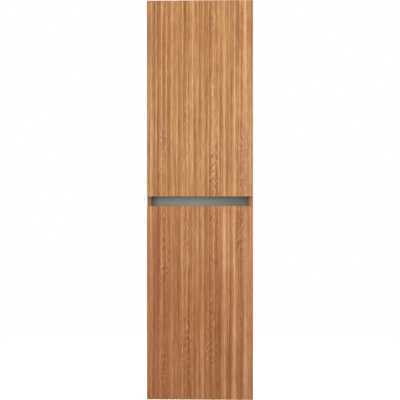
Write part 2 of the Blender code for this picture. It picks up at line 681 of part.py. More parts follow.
def make_bumpers(level, low_z, high_z):
    """Soft domed bumpers on the right side panel's front edge, which the closed door meets."""
    thickness = DOOR_STANDOFF - 2 * SEAT_GAP
    radius = min(BUMPER_RADIUS, PANEL_THICKNESS / 2 - BOARD_EDGE_RADIUS)
    dome = [(radius * out, thickness * up) for out, up in BUMPER_DOME]
    profile = [(0, thickness), *dome, (radius, 0), (0, 0)]
    for end, height in (("top", high_z - BUMPER_FROM_DOOR_END), ("bottom", low_z + BUMPER_FROM_DOOR_END)):
        add_turned(f"{level}_door_bumper_{end}", profile, SMALL_ROUND_SIDES, BUMPER_RUBBER,
                   (HALF_WIDTH - PANEL_THICKNESS / 2, CARCASS_FRONT_Y - SEAT_GAP, height),
                   TO_FRONT)


def hook_height():
    """Top of the hanger hook's shank."""
    return TOP_Z - PANEL_THICKNESS - HOOK_DROP + HOOK_SHANK_HEIGHT / 2


def hook_x(sign):
    """Middle of a hanger, beside its side panel."""
    return sign * (INNER_HALF_WIDTH - SEAT_GAP - HANGER_WIDTH / 2)


def make_hangers():
    """Cabinet hangers: a housing on the side panel, a hook through it and a plate on the wall."""
    for side, sign in SIDES:
        make_hanger_housing(side, sign)
        make_hanger_hook(side, sign)
        make_wall_plate(side, sign)


def make_hanger_housing(side, sign):
    """The housing in the top corner, slotted for the hook, with two screw recesses in front."""
    front = BACK_PANEL_FRONT_Y - SEAT_GAP - HANGER_DEPTH
    middle = (hook_x(sign), front + HANGER_DEPTH / 2,
              TOP_Z - PANEL_THICKNESS - SEAT_GAP - HANGER_HEIGHT / 2)
    name = f"hanger_housing_{side}"
    housing = add_part(name, box_mesh(name, (HANGER_WIDTH, HANGER_DEPTH, HANGER_HEIGHT)), HANGER_ZINC, middle)
    soften(housing, FITTING_EDGE_RADIUS * 2, 2)
    half_slot = HOOK_THICKNESS / 2 + SEAT_GAP
    slot = box_cutter(f"{name}_slot",
                      (middle[0] - half_slot, hook_front() - SEAT_GAP,
                       hook_height() - HOOK_SHANK_HEIGHT - SEAT_GAP),
                      (middle[0] + half_slot, BACK_PANEL_FRONT_Y + CUT_MARGIN, hook_height() + SEAT_GAP))
    cut(housing, slot)
    for drop in HANGER_SCREW_DROPS:
        screw = rod_mesh("hanger_screw_recess", HANGER_SCREW_RADIUS, 2 * HANGER_SCREW_DEPTH, SMALL_ROUND_SIDES)
        cut(housing, add_cutter(f"{name}_screw_recess", screw,
                                (middle[0], front, middle[2] + HANGER_HEIGHT / 2 - drop), TO_WALL))


def hook_front():
    """Front end of the hook's shank, inside the housing."""
    return BACK_PANEL_FRONT_Y - SEAT_GAP - HOOK_REACH


def make_hanger_hook(side, sign):
    """A flat steel hook: its shank rests on the wall plate's lip and its tip drops behind it."""
    top = hook_height()
    low = top - HOOK_SHANK_HEIGHT
    rear = -SEAT_GAP
    tip_front = rear - HOOK_TIP_THICKNESS
    chamfer = HOOK_TIP_THICKNESS / 2
    outline = [(hook_front(), low), (tip_front, low), (tip_front, low - HOOK_TIP_LENGTH + chamfer),
               (tip_front + chamfer, low - HOOK_TIP_LENGTH), (rear, low - HOOK_TIP_LENGTH),
               (rear, top - chamfer), (rear - chamfer, top), (hook_front(), top)]
    name = f"hanger_hook_{side}"
    add_part(name, outline_mesh(name, outline, HOOK_THICKNESS), PIN_STEEL, (hook_x(sign), 0, 0), ALONG_X)


def make_wall_plate(side, sign):
    """A plate screwed to the wall, jogged forward at the top so that the hook's tip fits behind."""
    lip_top = hook_height() - HOOK_SHANK_HEIGHT - SEAT_GAP
    flat_y = -WALL_PLATE_WALL / 2
    lip_y = -SEAT_GAP * 2 - HOOK_TIP_THICKNESS - WALL_PLATE_WALL / 2
    lip_low = lip_top - WALL_PLATE_LIP
    jog = flat_y - lip_y
    line = [(lip_y, lip_top), (lip_y, lip_low), (flat_y, lip_low - jog), (flat_y, lip_top - WALL_PLATE_HEIGHT)]
    name = f"wall_plate_{side}"
    x_near = INNER_HALF_WIDTH - SEAT_GAP
    middle_x = sign * (x_near - WALL_PLATE_WIDTH / 2)
    plate = add_part(name, strip_mesh(name, line, WALL_PLATE_WIDTH), WALL_PLATE_STEEL, (middle_x, 0, 0), ALONG_X)
    thicken(plate, WALL_PLATE_WALL)
    flat_top = lip_low - jog
    screw_z = (flat_top + lip_top - WALL_PLATE_HEIGHT) / 2
    for step in (-1, 1):
        hole = rod_mesh("wall_screw_hole", WALL_PLATE_SCREW_RADIUS, 6 * WALL_PLATE_WALL, SMALL_ROUND_SIDES)
        cut(plate, add_cutter(f"{name}_screw_hole", hole,
                              (middle_x + step * WALL_PLATE_WIDTH / 4, flat_y, screw_z), TO_WALL))


make_sides()
make_top_and_bottom()
make_back_panel()
make_fixed_shelf()
make_handle_profile()
make_profile_brackets()
make_shelves()
for door_level, door_low, door_high in DOORS:
    make_door(door_level, door_low, door_high)
make_hangers()
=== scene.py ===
"""Tall wall cabinet with two reeded doors: the looks of its doors, boards and fittings.

Metres, +Z up. The doors face -Y and the rear edges lie at Y = 0.
"""

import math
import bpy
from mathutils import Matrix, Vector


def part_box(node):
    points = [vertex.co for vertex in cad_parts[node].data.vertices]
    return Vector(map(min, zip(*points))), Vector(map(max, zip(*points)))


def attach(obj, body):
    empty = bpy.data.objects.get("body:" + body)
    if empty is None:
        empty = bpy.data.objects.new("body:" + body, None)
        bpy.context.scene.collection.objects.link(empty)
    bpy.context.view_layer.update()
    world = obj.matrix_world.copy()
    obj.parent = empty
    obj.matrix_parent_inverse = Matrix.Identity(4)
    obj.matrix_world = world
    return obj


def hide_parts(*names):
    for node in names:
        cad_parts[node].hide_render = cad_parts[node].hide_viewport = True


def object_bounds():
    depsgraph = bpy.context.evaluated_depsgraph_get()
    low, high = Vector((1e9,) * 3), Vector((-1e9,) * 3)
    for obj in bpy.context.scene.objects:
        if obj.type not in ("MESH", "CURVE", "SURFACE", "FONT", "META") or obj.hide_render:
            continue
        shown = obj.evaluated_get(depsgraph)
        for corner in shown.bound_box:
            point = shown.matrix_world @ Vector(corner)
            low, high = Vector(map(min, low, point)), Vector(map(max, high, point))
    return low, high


bl_info = {
    "name": "Tall reeded wall cabinet",
    "version": (1, 0, 0),
    "blender": (4, 5, 0),
    "location": "View3D > Sidebar > Cabinet",
    "description": "Reeded doors, timber boards, fittings and a plain stage for a tall wall cabinet",
    "category": "Object",
}

import bmesh
import bpy
from bpy.props import FloatProperty, FloatVectorProperty, IntProperty, PointerProperty
from bpy.types import Operator, Panel, PropertyGroup
from mathutils import Matrix, Vector
from mathutils.geometry import tessellate_polygon

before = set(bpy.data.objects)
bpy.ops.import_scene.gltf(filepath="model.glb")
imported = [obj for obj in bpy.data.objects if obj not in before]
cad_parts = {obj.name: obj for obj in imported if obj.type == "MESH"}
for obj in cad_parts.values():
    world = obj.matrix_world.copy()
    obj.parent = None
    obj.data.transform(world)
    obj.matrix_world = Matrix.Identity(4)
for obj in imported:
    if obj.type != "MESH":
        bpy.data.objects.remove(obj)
CAD_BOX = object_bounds()

CARCASS = "carcass"
DOOR_BODIES = {"upper": "upper_door_leaf", "lower": "lower_door_leaf"}
ENDS = ("top", "bottom")
SIDES = (("left", -1), ("right", 1))
LEVELS = ("upper", "lower")
TO_FRONT = Matrix.Rotation(math.radians(90), 4, "X")
TO_WALL = Matrix.Rotation(math.radians(-90), 4, "X")
TO_RIGHT = Matrix.Rotation(math.radians(90), 4, "Y")
TO_LEFT = Matrix.Rotation(math.radians(-90), 4, "Y")

# Powers of a depth for red, green and blue, so that dark grain turns brown and not olive.
DEPTH_POWERS = (1.0, 1.40, 1.92)
WAVER_REACH = 0.022
RIPPLE_REACH = 0.004
CURL_REACH = 0.016
RUFFLE_RINGS = 1.3
STREAK_CORE = 0.25
STREAK_FADE = 0.2
FEATHER_TIP_RADIUS = 0.002
FEATHER_LINE_SPACING = 0.007
FEATHER_POINT_SPACING = 0.031
OILED_SPECULAR = 0.26
TIMBER_RELIEF = 0.00012
# Half the width of the painted highlight along a crest, and its strength.
WIDE_CREST_HIGHLIGHT = (0.0044, 0.30)
SLIM_CREST_HIGHLIGHT = (0.0030, 0.26)
DRAWN_CELLS = (9.0, 900.0, 900.0)

# Outlines of screw heads of unit radius: pairs of radius and height.
SCREW_OUTLINES = {
    "domed": ((0, 0), (0.96, 0), (1.0, 0.10), (0.97, 0.24), (0.86, 0.40), (0.66, 0.52), (0.36, 0.60),
              (0, 0.62)),
    "flat": ((0, 0), (0.97, 0), (1.0, 0.06), (0.98, 0.16), (0.92, 0.20), (0, 0.22)),
}
SCREW_SIDES = 32
CROSS_REACH = 0.58
CROSS_ARM_SHARE = 0.27
CROSS_TAPER = 0.55
BORE_SIDES = 48
BAND_MARGIN = 0.0004
BAND_OVERLAP = 0.0001

# Where the screws sit on the packed fittings, and their radii.
WING_FACE_X = -0.1815
WING_HOLE_FROM_MIDDLE = 0.016
PLATE_SCREW_RADIUS = 0.0040
ARM_SCREW_X = -0.1768
ARM_SCREWS_FROM_END = (0.010, 0.033)
ARM_SCREW_RADIUS = 0.0032
EAR_FACE_Y = -0.32662
EAR_SCREW_FROM_MIDDLE = 0.0224
EAR_SCREW_RADIUS = 0.0034
BRACKET_WALL = 0.003
BRACKET_SIDE_SCREW = (0.017, 0.0040)
BRACKET_FRONT_SCREW = (0.009, 0.0036)
HANGER_SCREW_DEPTH = 0.0022
HANGER_SCREW_DROPS = (0.018, 0.041)
HANGER_SCREW_RADIUS = 0.0036
WALL_SCREW_Y = -0.002
WALL_SCREW_Z = -0.0718
WALL_SCREW_RADIUS = 0.0052

# Each lamp: its name, place, aim, width and height, the setting that holds its power, and its tint.
LAMPS = (
    ("key_lamp", (-0.26, -3.70, -0.12), (0.0, -0.35, -0.60), (0.24, 2.00), "key_power", (1.0, 0.99, 0.97)),
    ("top_lamp", (0.10, -2.60, 1.30), (0.0, -0.35, -0.45), (0.80, 0.60), "top_power", (1.0, 0.99, 0.97)),
    ("side_lamp", (-1.35, -2.20, -0.35), (0.05, -0.30, -0.70), (0.5, 1.4), "side_power", (1.0, 0.98, 0.96)),
    ("left_flank_lamp", (-2.8, 0.55, -0.1), (0.0, -0.1, -0.7), (1.4, 1.8), "flank_power", (1.0, 1.0, 0.99)),
    ("right_flank_lamp", (2.8, 0.55, -0.1), (0.0, -0.1, -0.7), (1.4, 1.8), "flank_power", (1.0, 1.0, 0.99)),
    ("rear_lamp", (0.8, 2.6, 1.2), (0.0, 0.0, -0.70), (2.0, 2.0), "rear_power", (1.0, 1.0, 1.0)),
)

# The share of painted highlight on each door's slim reeds, and the level that scales its grooves' colour:
# painted light that lightens the grooves.
REED_PAINTED_LIGHT = {"upper": (1.0, 1.01), "lower": (0.0, 1.10)}
# Nested growth lines: middle, half the width, both ends, and how strongly they show.
DOOR_FEATHERS = {
    "upper": (
        (-0.138, 0.026, -0.24, -0.03, 0.4),
        (-0.138, 0.03, -0.71, -0.46, 0.75),
        (-0.048, 0.026, -0.24, 0.01, 0.5),
        (-0.05, 0.024, -0.64, -0.28, 0.45),
        (0.046, 0.028, -0.42, -0.2, 0.45),
        (0.05, 0.044, -0.76, -0.46, 0.6),
        (0.158, 0.03, -0.75, -0.38, 0.5),
    ),
    "lower": (
        (-0.135, 0.034, -1.14, -0.75, 0.8),
        (-0.14, 0.028, -1.47, -1.14, 0.75),
        (-0.042, 0.028, -0.98, -0.75, 0.65),
        (-0.046, 0.034, -1.42, -1.15, 1.0),
        (0.052, 0.028, -1.03, -0.75, 0.65),
        (0.042, 0.034, -1.39, -1.02, 1.0),
        (0.155, 0.03, -1.02, -0.77, 0.75),
        (0.158, 0.024, -1.23, -1.08, 0.5),
    ),
}
# The heart of the growth rings, then the streaks: tone, strength, middle, half the width, and both ends.
DOOR_FIGURE = {
    "upper": ((0.057, 0.055, 0.06, 0.008), (
        ("dark", 0.3, -0.16, 0.09, -0.9, 0.2),
        ("pale", 0.22, 0.17, 0.09, -0.9, 0.2),
        ("pale", 0.3, 0.0, 0.45, -0.95, -0.42),
        ("dark", 0.6, -0.192, 0.013, -0.85, 0.12),
        ("line", 0.65, -0.1995, 0.005, -0.85, 0.12),
        ("red", 0.95, -0.1375, 0.0062, -0.64, -0.01),
        ("dark", 0.6, -0.147, 0.006, -0.85, -0.25),
        ("red", 0.55, 0.185, 0.009, -0.19, -0.05),
        ("red", 0.45, 0.152, 0.012, -0.19, -0.01),
        ("red", 0.5, 0.148, 0.011, -0.7, -0.4),
        ("line", 0.5, -0.045, 0.0022, -0.23, 0.0),
        ("line", 0.4, -0.052, 0.0018, -0.18, -0.02),
        ("line", 0.5, 0.0255, 0.003, -0.5, -0.27),
        ("dark", 0.45, 0.064, 0.009, -0.45, 0.08),
        ("dark", 0.55, -0.112, 0.009, -0.85, 0.12),
        ("pale", 0.85, 0.171, 0.008, -0.85, 0.12),
        ("pale", 0.6, -0.164, 0.007, -0.76, 0.05),
        ("pale", 0.6, -0.082, 0.0065, -0.85, 0.12),
        ("pale", 0.45, -0.002, 0.005, -0.85, 0.12),
        ("pale", 0.4, 0.09, 0.006, -0.85, 0.12),
        ("pale", 0.65, 0.13, 0.01, -0.85, 0.12),
        ("dark", 0.55, 0.187, 0.007, -0.85, -0.15),
    )),
    "lower": ((-0.037, 0.1, 0.075, 0.0075), (
        ("red", 0.5, -0.15, 0.085, -1.75, -0.72),
        ("dark", 0.45, -0.15, 0.085, -1.8, -0.72),
        # These two span the whole width: the door turns redder and darker towards the bottom.
        ("red", 0.3, 0.0, 0.26, -1.95, -0.9),
        ("dark", 0.25, 0.0, 0.26, -1.95, -0.9),
        ("pale", 0.25, 0.15, 0.08, -1.75, -0.7),
        ("pale", 0.3, 0.05, 0.22, -1.34, -0.6),
        ("dark", 0.85, -0.189, 0.016, -1.7, -0.55),
        ("line", 0.75, -0.1995, 0.006, -1.7, -0.65),
        ("line", 0.55, -0.135, 0.0035, -1.13, -0.77),
        ("dark", 0.5, -0.145, 0.008, -1.2, -0.65),
        ("pale", 0.6, -0.081, 0.006, -1.7, -0.65),
        ("pale", 0.55, -0.002, 0.0055, -1.7, -0.65),
        ("line", 0.45, 0.035, 0.003, -1.24, -1.01),
        ("line", 0.35, -0.043, 0.005, -1.35, -1.24),
        ("dark", 0.5, 0.028, 0.006, -1.7, -0.65),
        ("dark", 0.6, 0.072, 0.007, -1.7, -1.05),
        ("pale", 0.65, 0.094, 0.008, -1.7, -0.65),
        ("line", 0.7, 0.104, 0.0034, -1.7, -1.12),
        ("line", 0.6, 0.112, 0.0034, -1.7, -0.65),
        ("pale", 0.7, 0.129, 0.0075, -1.7, -0.65),
        ("dark", 0.75, 0.149, 0.014, -1.7, -0.65),
        ("pale", 0.9, 0.174, 0.009, -1.7, -0.65),
        ("red", 0.35, 0.191, 0.009, -1.7, -0.65),
    )),
}


def swatch(name, description, default):
    """A colour that shows as a swatch."""
    return FloatVectorProperty(name=name, description=description, default=default, size=3, min=0.0,
                               max=1.0, subtype="COLOR")


def length(name, description, default, low=0.0, high=10.0):
    """A length in metres."""
    return FloatProperty(name=name, description=description, default=default, min=low, max=high,
                         precision=4, unit="LENGTH", subtype="DISTANCE")


def portion(name, description, default):
    """A share from nought to one."""
    return FloatProperty(name=name, description=description, default=default, min=0.0, max=1.0,
                         subtype="FACTOR")


def watts(name, description, default):
    """A lamp's power in watts."""
    return FloatProperty(name=name, description=description, default=default, min=0.0, max=500.0,
                         unit="POWER")


class ReededDoorSizes(PropertyGroup):
    """Sizes of the door fronts that a maker would change."""
    wide_reed: length("Wide reed", "Width of each broad reed", 0.0252)
    narrow_reed: length("Narrow reed", "Width of each slim reed", 0.0141)
    least_land: length("Least edge land", "Least flat strip beside the outer reeds", 0.001)
    crown: length("Crown", "How far each reed stands above its grooves", 0.004)
    groove_radius: length("Groove radius", "Rounding at the bottom of each groove", 0.0007)
    edge_radius: length("Edge radius", "Softening of the leaf's top, bottom and rear edges", 0.0007)
    side_radius: length("Side radius", "Rounding of the leaf's upright front edges", 0.0026)
    bore_radius: length("Cup bore radius", "Radius of the bores behind the hinge cups", 0.0175)
    bore_depth: length("Cup bore depth", "Depth of the bores behind the hinge cups", 0.0148)
    steps: IntProperty(name="Steps", description="Facets across a reed", default=16, min=4, max=64)


class DoorTimber(PropertyGroup):
    """Colours and finish of the oiled timber on the doors."""
    base: swatch("Base", "Colour of the golden grain", (0.582, 0.296, 0.103))
    rosy: swatch("Rosy", "Colour of the rosy grain beside it", (0.578, 0.272, 0.101))
    pale: swatch("Pale", "Colour of the pale bands", (0.730, 0.402, 0.182))
    dark: swatch("Dark", "Colour of the dark bands", (0.455, 0.207, 0.076))
    red: swatch("Red", "Colour of the reddish heartwood", (0.430, 0.142, 0.051))
    # The crest colour is a painted highlight, mixed in along the reeds' crests.
    crest: swatch("Crest", "Colour of the rubbed crests", (0.860, 0.500, 0.228))
    line: swatch("Growth line", "Colour of the growth lines and pores", (0.340, 0.106, 0.036))
    warmth: portion("Lower door warmth", "How much redder the lower door's timber is", 0.30)
    figure: portion("Figure", "How strongly the growth lines show", 0.25)
    pores: portion("Pores", "How strongly the pores show", 0.45)
    roughness: portion("Roughness", "Gloss of the oil finish, low is shinier", 0.30)


class BoardTimber(PropertyGroup):
    """Colours and finish of the boards of the carcass."""
    base: swatch("Base", "Colour of the plain grain", (0.535, 0.260, 0.096))
    pale: swatch("Pale", "Colour of the pale bands", (0.650, 0.346, 0.146))
    dark: swatch("Dark", "Colour of the dark bands", (0.412, 0.182, 0.065))
    line: swatch("Growth line", "Colour of the growth lines and pores", (0.190, 0.078, 0.028))
    edge: swatch("Edge band", "Colour of the bands on the front edges", (0.430, 0.190, 0.094))
    roughness: portion("Roughness", "Gloss of the boards, low is shinier", 0.48)
    band_thickness: length("Edge band thickness", "Thickness of the bands on the front edges", 0.0002)


class FittingFinishes(PropertyGroup):
    """Colours of the profile and of the small metal and plastic fittings."""
    handle: swatch("Handle profile", "Colour of the anodised aluminium", (0.246, 0.252, 0.234))
    hinge: swatch("Hinge steel", "Colour of the nickel plate", (0.720, 0.705, 0.670))
    pin: swatch("Pin steel", "Colour of the shelf pins and screws", (0.640, 0.630, 0.600))
    zinc: swatch("Hanger zinc", "Colour of the cast hanger housings", (0.460, 0.462, 0.460))
    plate: swatch("Plate steel", "Colour of the galvanised wall plates", (0.430, 0.435, 0.435))
    plastic: swatch("Bracket plastic", "Colour of the moulded brackets", (0.200, 0.195, 0.185))
    rubber: swatch("Bumper rubber", "Colour of the door bumpers", (0.720, 0.710, 0.680))
    profile_wall: length("Profile wall", "Wall of the handle profile", 0.0015)
    profile_corner: length("Profile corner", "Radius in the handle profile's hollow", 0.010)
    profile_lip: length("Profile lip", "Height of the handle profile's lips", 0.005)


class StageLook(PropertyGroup):
    """Floor, lamps and camera."""
    floor: swatch("Floor", "Colour of the pale floor", (0.800, 0.800, 0.790))
    floor_drop: length("Floor drop", "How far the floor is below the cabinet", 0.450)
    floor_radius: length("Floor radius", "Radius of the round floor", 4.0)
    ambient: portion("Room light", "Strength of the light from all round", 0.24)
    key_power: watts("Key power", "Power of the tall soft lamp behind the camera", 42.0)
    top_power: watts("Top power", "Power of the soft lamp high in front of the cabinet", 19.0)
    side_power: watts("Side power", "Power of the soft lamp at the left", 6.0)
    flank_power: watts("Flank power", "Power of the soft lamp at each side", 21.0)
    rear_power: watts("Rear power", "Power of the soft lamp behind", 20.0)
    camera_distance: length("Camera distance", "From the camera to the door fronts", 3.0, 0.5, 20.0)
    camera_turn: FloatProperty(name="Camera turn", description="How far the camera stands to the right",
                               default=math.radians(1.6), unit="ROTATION", subtype="ANGLE")
    frame_height: length("Frame height", "Height that the picture takes in at the doors", 1.5, 0.1)
    frame_shift: length("Frame shift", "How far the picture's middle is right of the cabinet's", 0.0006)


GROUPS = {"cabinet_doors": ReededDoorSizes, "cabinet_door_timber": DoorTimber, "cabinet_boards": BoardTimber,
          "cabinet_fittings": FittingFinishes, "cabinet_stage": StageLook}


class Value:
    """What a node gives, ready for plain sums."""

    def __init__(self, nodes, socket):
        self.nodes = nodes
        self.socket = socket

    def __add__(self, other):
        return self.nodes.maths("ADD", self, other)

    def __sub__(self, other):
        return self.nodes.maths("SUBTRACT", self, other)

    def __mul__(self, other):
        return self.nodes.maths("MULTIPLY", self, other)

    def __truediv__(self, other):
        return self.nodes.maths("DIVIDE", self, other)

    def __abs__(self):
        return self.nodes.maths("ABSOLUTE", self)

    def span(self, low, high, to_low=0.0, to_high=1.0):
        """This value eased from one span into another."""
        return self.nodes.value("ShaderNodeMapRange", {0: self, 1: low, 2: high, 3: to_low, 4: to_high},
                                interpolation_type="SMOOTHSTEP")


class Nodes:
    """A node tree, with short ways to add nodes."""

    def __init__(self, tree):
        self.tree = tree

    def add(self, kind, inputs=None, **settings):
        """A node with its settings, and with values or sockets fed to its inputs."""
        node = self.tree.nodes.new(kind)
        for key, value in settings.items():
            setattr(node, key, value)
        for socket, value in (inputs or {}).items():
            self.feed(node.inputs[socket], value)
        return node

    def feed(self, socket, value):
        """Link a node's output, or set a plain value."""
        value = value.socket if isinstance(value, Value) else value
        if isinstance(value, bpy.types.NodeSocket):
            self.tree.links.new(value, socket)
        elif socket.type == "RGBA":
            socket.default_value = (*value, 1.0)
        else:
            socket.default_value = value

    def value(self, kind, inputs=None, output=0, **settings):
        """One output of a new node."""
        return Value(self, self.add(kind, inputs, **settings).outputs[output])

    def maths(self, operation, first, second=0.0):
        """One sum of two numbers."""
        return self.value("ShaderNodeMath", {0: first, 1: second}, operation=operation)

    def seen(self):
        """One where the camera, gloss or clear things look straight at it, and nought for other light."""
        path = self.add("ShaderNodeLightPath").outputs
        seen = self.maths("MAXIMUM", path["Is Camera Ray"], path["Is Glossy Ray"])
        return self.maths("MAXIMUM", seen, path["Is Transmission Ray"])


class Finish(Nodes):
    """One material's node tree, with what the finishes share."""

    def __init__(self, name):
        self.material = bpy.data.materials.new(name)
        self.material.use_nodes = True
        super().__init__(self.material.node_tree)
        self.shader = self.tree.nodes["Principled BSDF"]
        self.place = self.value("ShaderNodeTexCoord", output="Object")

    def stretch(self, place, scale):
        """The same place, counted in other lengths along each axis."""
        return self.value("ShaderNodeVectorMath", {0: place, 1: scale}, operation="MULTIPLY")

    def shift(self, place, offset):
        """The same place, moved."""
        return self.value("ShaderNodeVectorMath", {0: place, 1: offset}, operation="ADD")

    def noise(self, cells, detail=2.0, roughness=0.5, place=None):
        """Soft noise from nought to one, with so many cells to a metre along all axes or along each."""
        cells = cells if isinstance(cells, tuple) else (cells, cells, cells)
        inputs = {"Scale": 1.0, "Detail": detail, "Roughness": roughness}
        return self.value("ShaderNodeTexNoise", dict(inputs, Vector=self.stretch(place or self.place, cells)))

    def mix(self, share, first, second, blend="MIX"):
        """Two colours mixed."""
        return self.value("ShaderNodeMix", {0: share, 6: first, 7: second}, 2, data_type="RGBA",
                          blend_type=blend)

    def tinted(self, colour, parts):
        """A colour whose red, green and blue are each multiplied by a number."""
        return self.mix(1.0, colour, self.value("ShaderNodeCombineColor", dict(enumerate(parts))), "MULTIPLY")

    def shade(self, colour, value):
        """A colour made darker or lighter by a number about one."""
        return self.tinted(colour, (value, value, value))

    def deepen(self, colour, value):
        """A timber colour made deeper or paler by a number about one: green and blue go further than red."""
        return self.tinted(colour, [self.maths("POWER", value, power) for power in DEPTH_POWERS])

    def bump(self, height, distance, strength=1.0):
        """Small relief on the surface."""
        node = self.add("ShaderNodeBump", {"Height": height, "Distance": distance, "Strength": strength})
        self.feed(self.shader.inputs["Normal"], node.outputs[0])

    def surface(self, **values):
        """Values on the shader itself."""
        for key, value in values.items():
            self.feed(self.shader.inputs[key.replace("_", " ").title()], value)


def streak_mask(across, height, middle, half_width, low, high):
    """Where one long streak of the timber shows: a soft-edged strip that fades at its ends."""
    strip = abs(across - middle).span(half_width, half_width * STREAK_CORE)
    fade = (high - low) * STREAK_FADE
    return strip * (height.span(low, low + fade) * height.span(high, high - fade))


def feather_figure(finish, x, z, waver, feathers):
    """Fine growth lines in nested points: the masks of their dark and pale lines.

    Each feather gives its middle, half its width, its two ends and how strongly it shows.
    """
    curl = finish.noise((42.0, 42.0, 27.0), 2.0, 0.6)
    across = x + (waver * 0.4 + (curl - 0.5) * CURL_REACH)
    nearest = None
    shown = 0.0
    for middle, half_width, low, high, strength in feathers:
        beside = abs(across - middle)
        nearest = finish.maths("MINIMUM", nearest, beside) if nearest else beside
        mask = streak_mask(across, z, middle, half_width, low, high)
        shown = finish.maths("MAXIMUM", shown, mask * strength)
    comes = finish.noise((14.0, 14.0, 7.0), 1.0, place=finish.shift(finish.place, (3.1, 0.0, 0.7)))
    shown = finish.maths("MINIMUM", shown * comes.span(0.36, 0.60, 0.55, 1.7), 1.0)
    faint = nearest.span(0.022, 0.008) * comes.span(0.40, 0.62, 0.10, 0.50)
    shown = finish.maths("MAXIMUM", shown, faint)
    rounded = finish.maths("SQRT", nearest * nearest + FEATHER_TIP_RADIUS ** 2)
    ragged = finish.noise((105.0, 40.0, 23.0), 3.0, 0.6)
    drift = finish.noise((16.0, 16.0, 3.0))
    rings = rounded / FEATHER_LINE_SPACING + z / FEATHER_POINT_SPACING + ragged * 2.8 + drift * 7.0
    phase = finish.maths("FRACT", rings)
    dark = phase.span(0.46, 0.74) * phase.span(1.0, 0.92)
    pale = phase.span(0.02, 0.16) * phase.span(0.45, 0.22)
    return dark * shown, pale * shown


def painted_reed_light(finish, x, y, colour, tones, reeds):
    """Painted highlight along the crests, patchy along their length, and painted light in the grooves, whose
    colour is scaled by a level of their own.

    The reeds give the first one's left edge, both widths, the crests' and the grooves' Y, the share of
    painted highlight on the slim reeds and the grooves' painted level.
    """
    left, wide, slim, crest_y, groove_y, slim_highlight_share, groove_painted_level = reeds
    pair = wide + slim
    turn = finish.maths("FRACT", (x - left) / pair)
    rise = crest_y - groove_y
    front = y.span(groove_y + rise * 0.1, groove_y + rise * 0.4)
    highlight_patches = front * finish.noise((45.0, 8.0, 3.5)).span(0.30, 0.70, 0.45, 1.0)
    # Painted highlight: each crest paled towards the crest colour.
    for middle, (half, strength), share in ((wide / 2, WIDE_CREST_HIGHLIGHT, 1.0),
                                            (wide + slim / 2, SLIM_CREST_HIGHLIGHT, slim_highlight_share)):
        crest = abs(turn - middle / pair).span(half / pair, 0.0) * highlight_patches
        colour = finish.mix(crest * (strength * share), colour, tones["crest"])
    # Painted light in the grooves: their colour scaled by the groove level.
    groove = (y.span(groove_y + rise * 0.35, groove_y + rise * 0.02)
              * y.span(groove_y + 0.002, groove_y + 0.0005))
    return finish.shade(colour, groove.span(0.0, 1.0, 1.0, groove_painted_level))


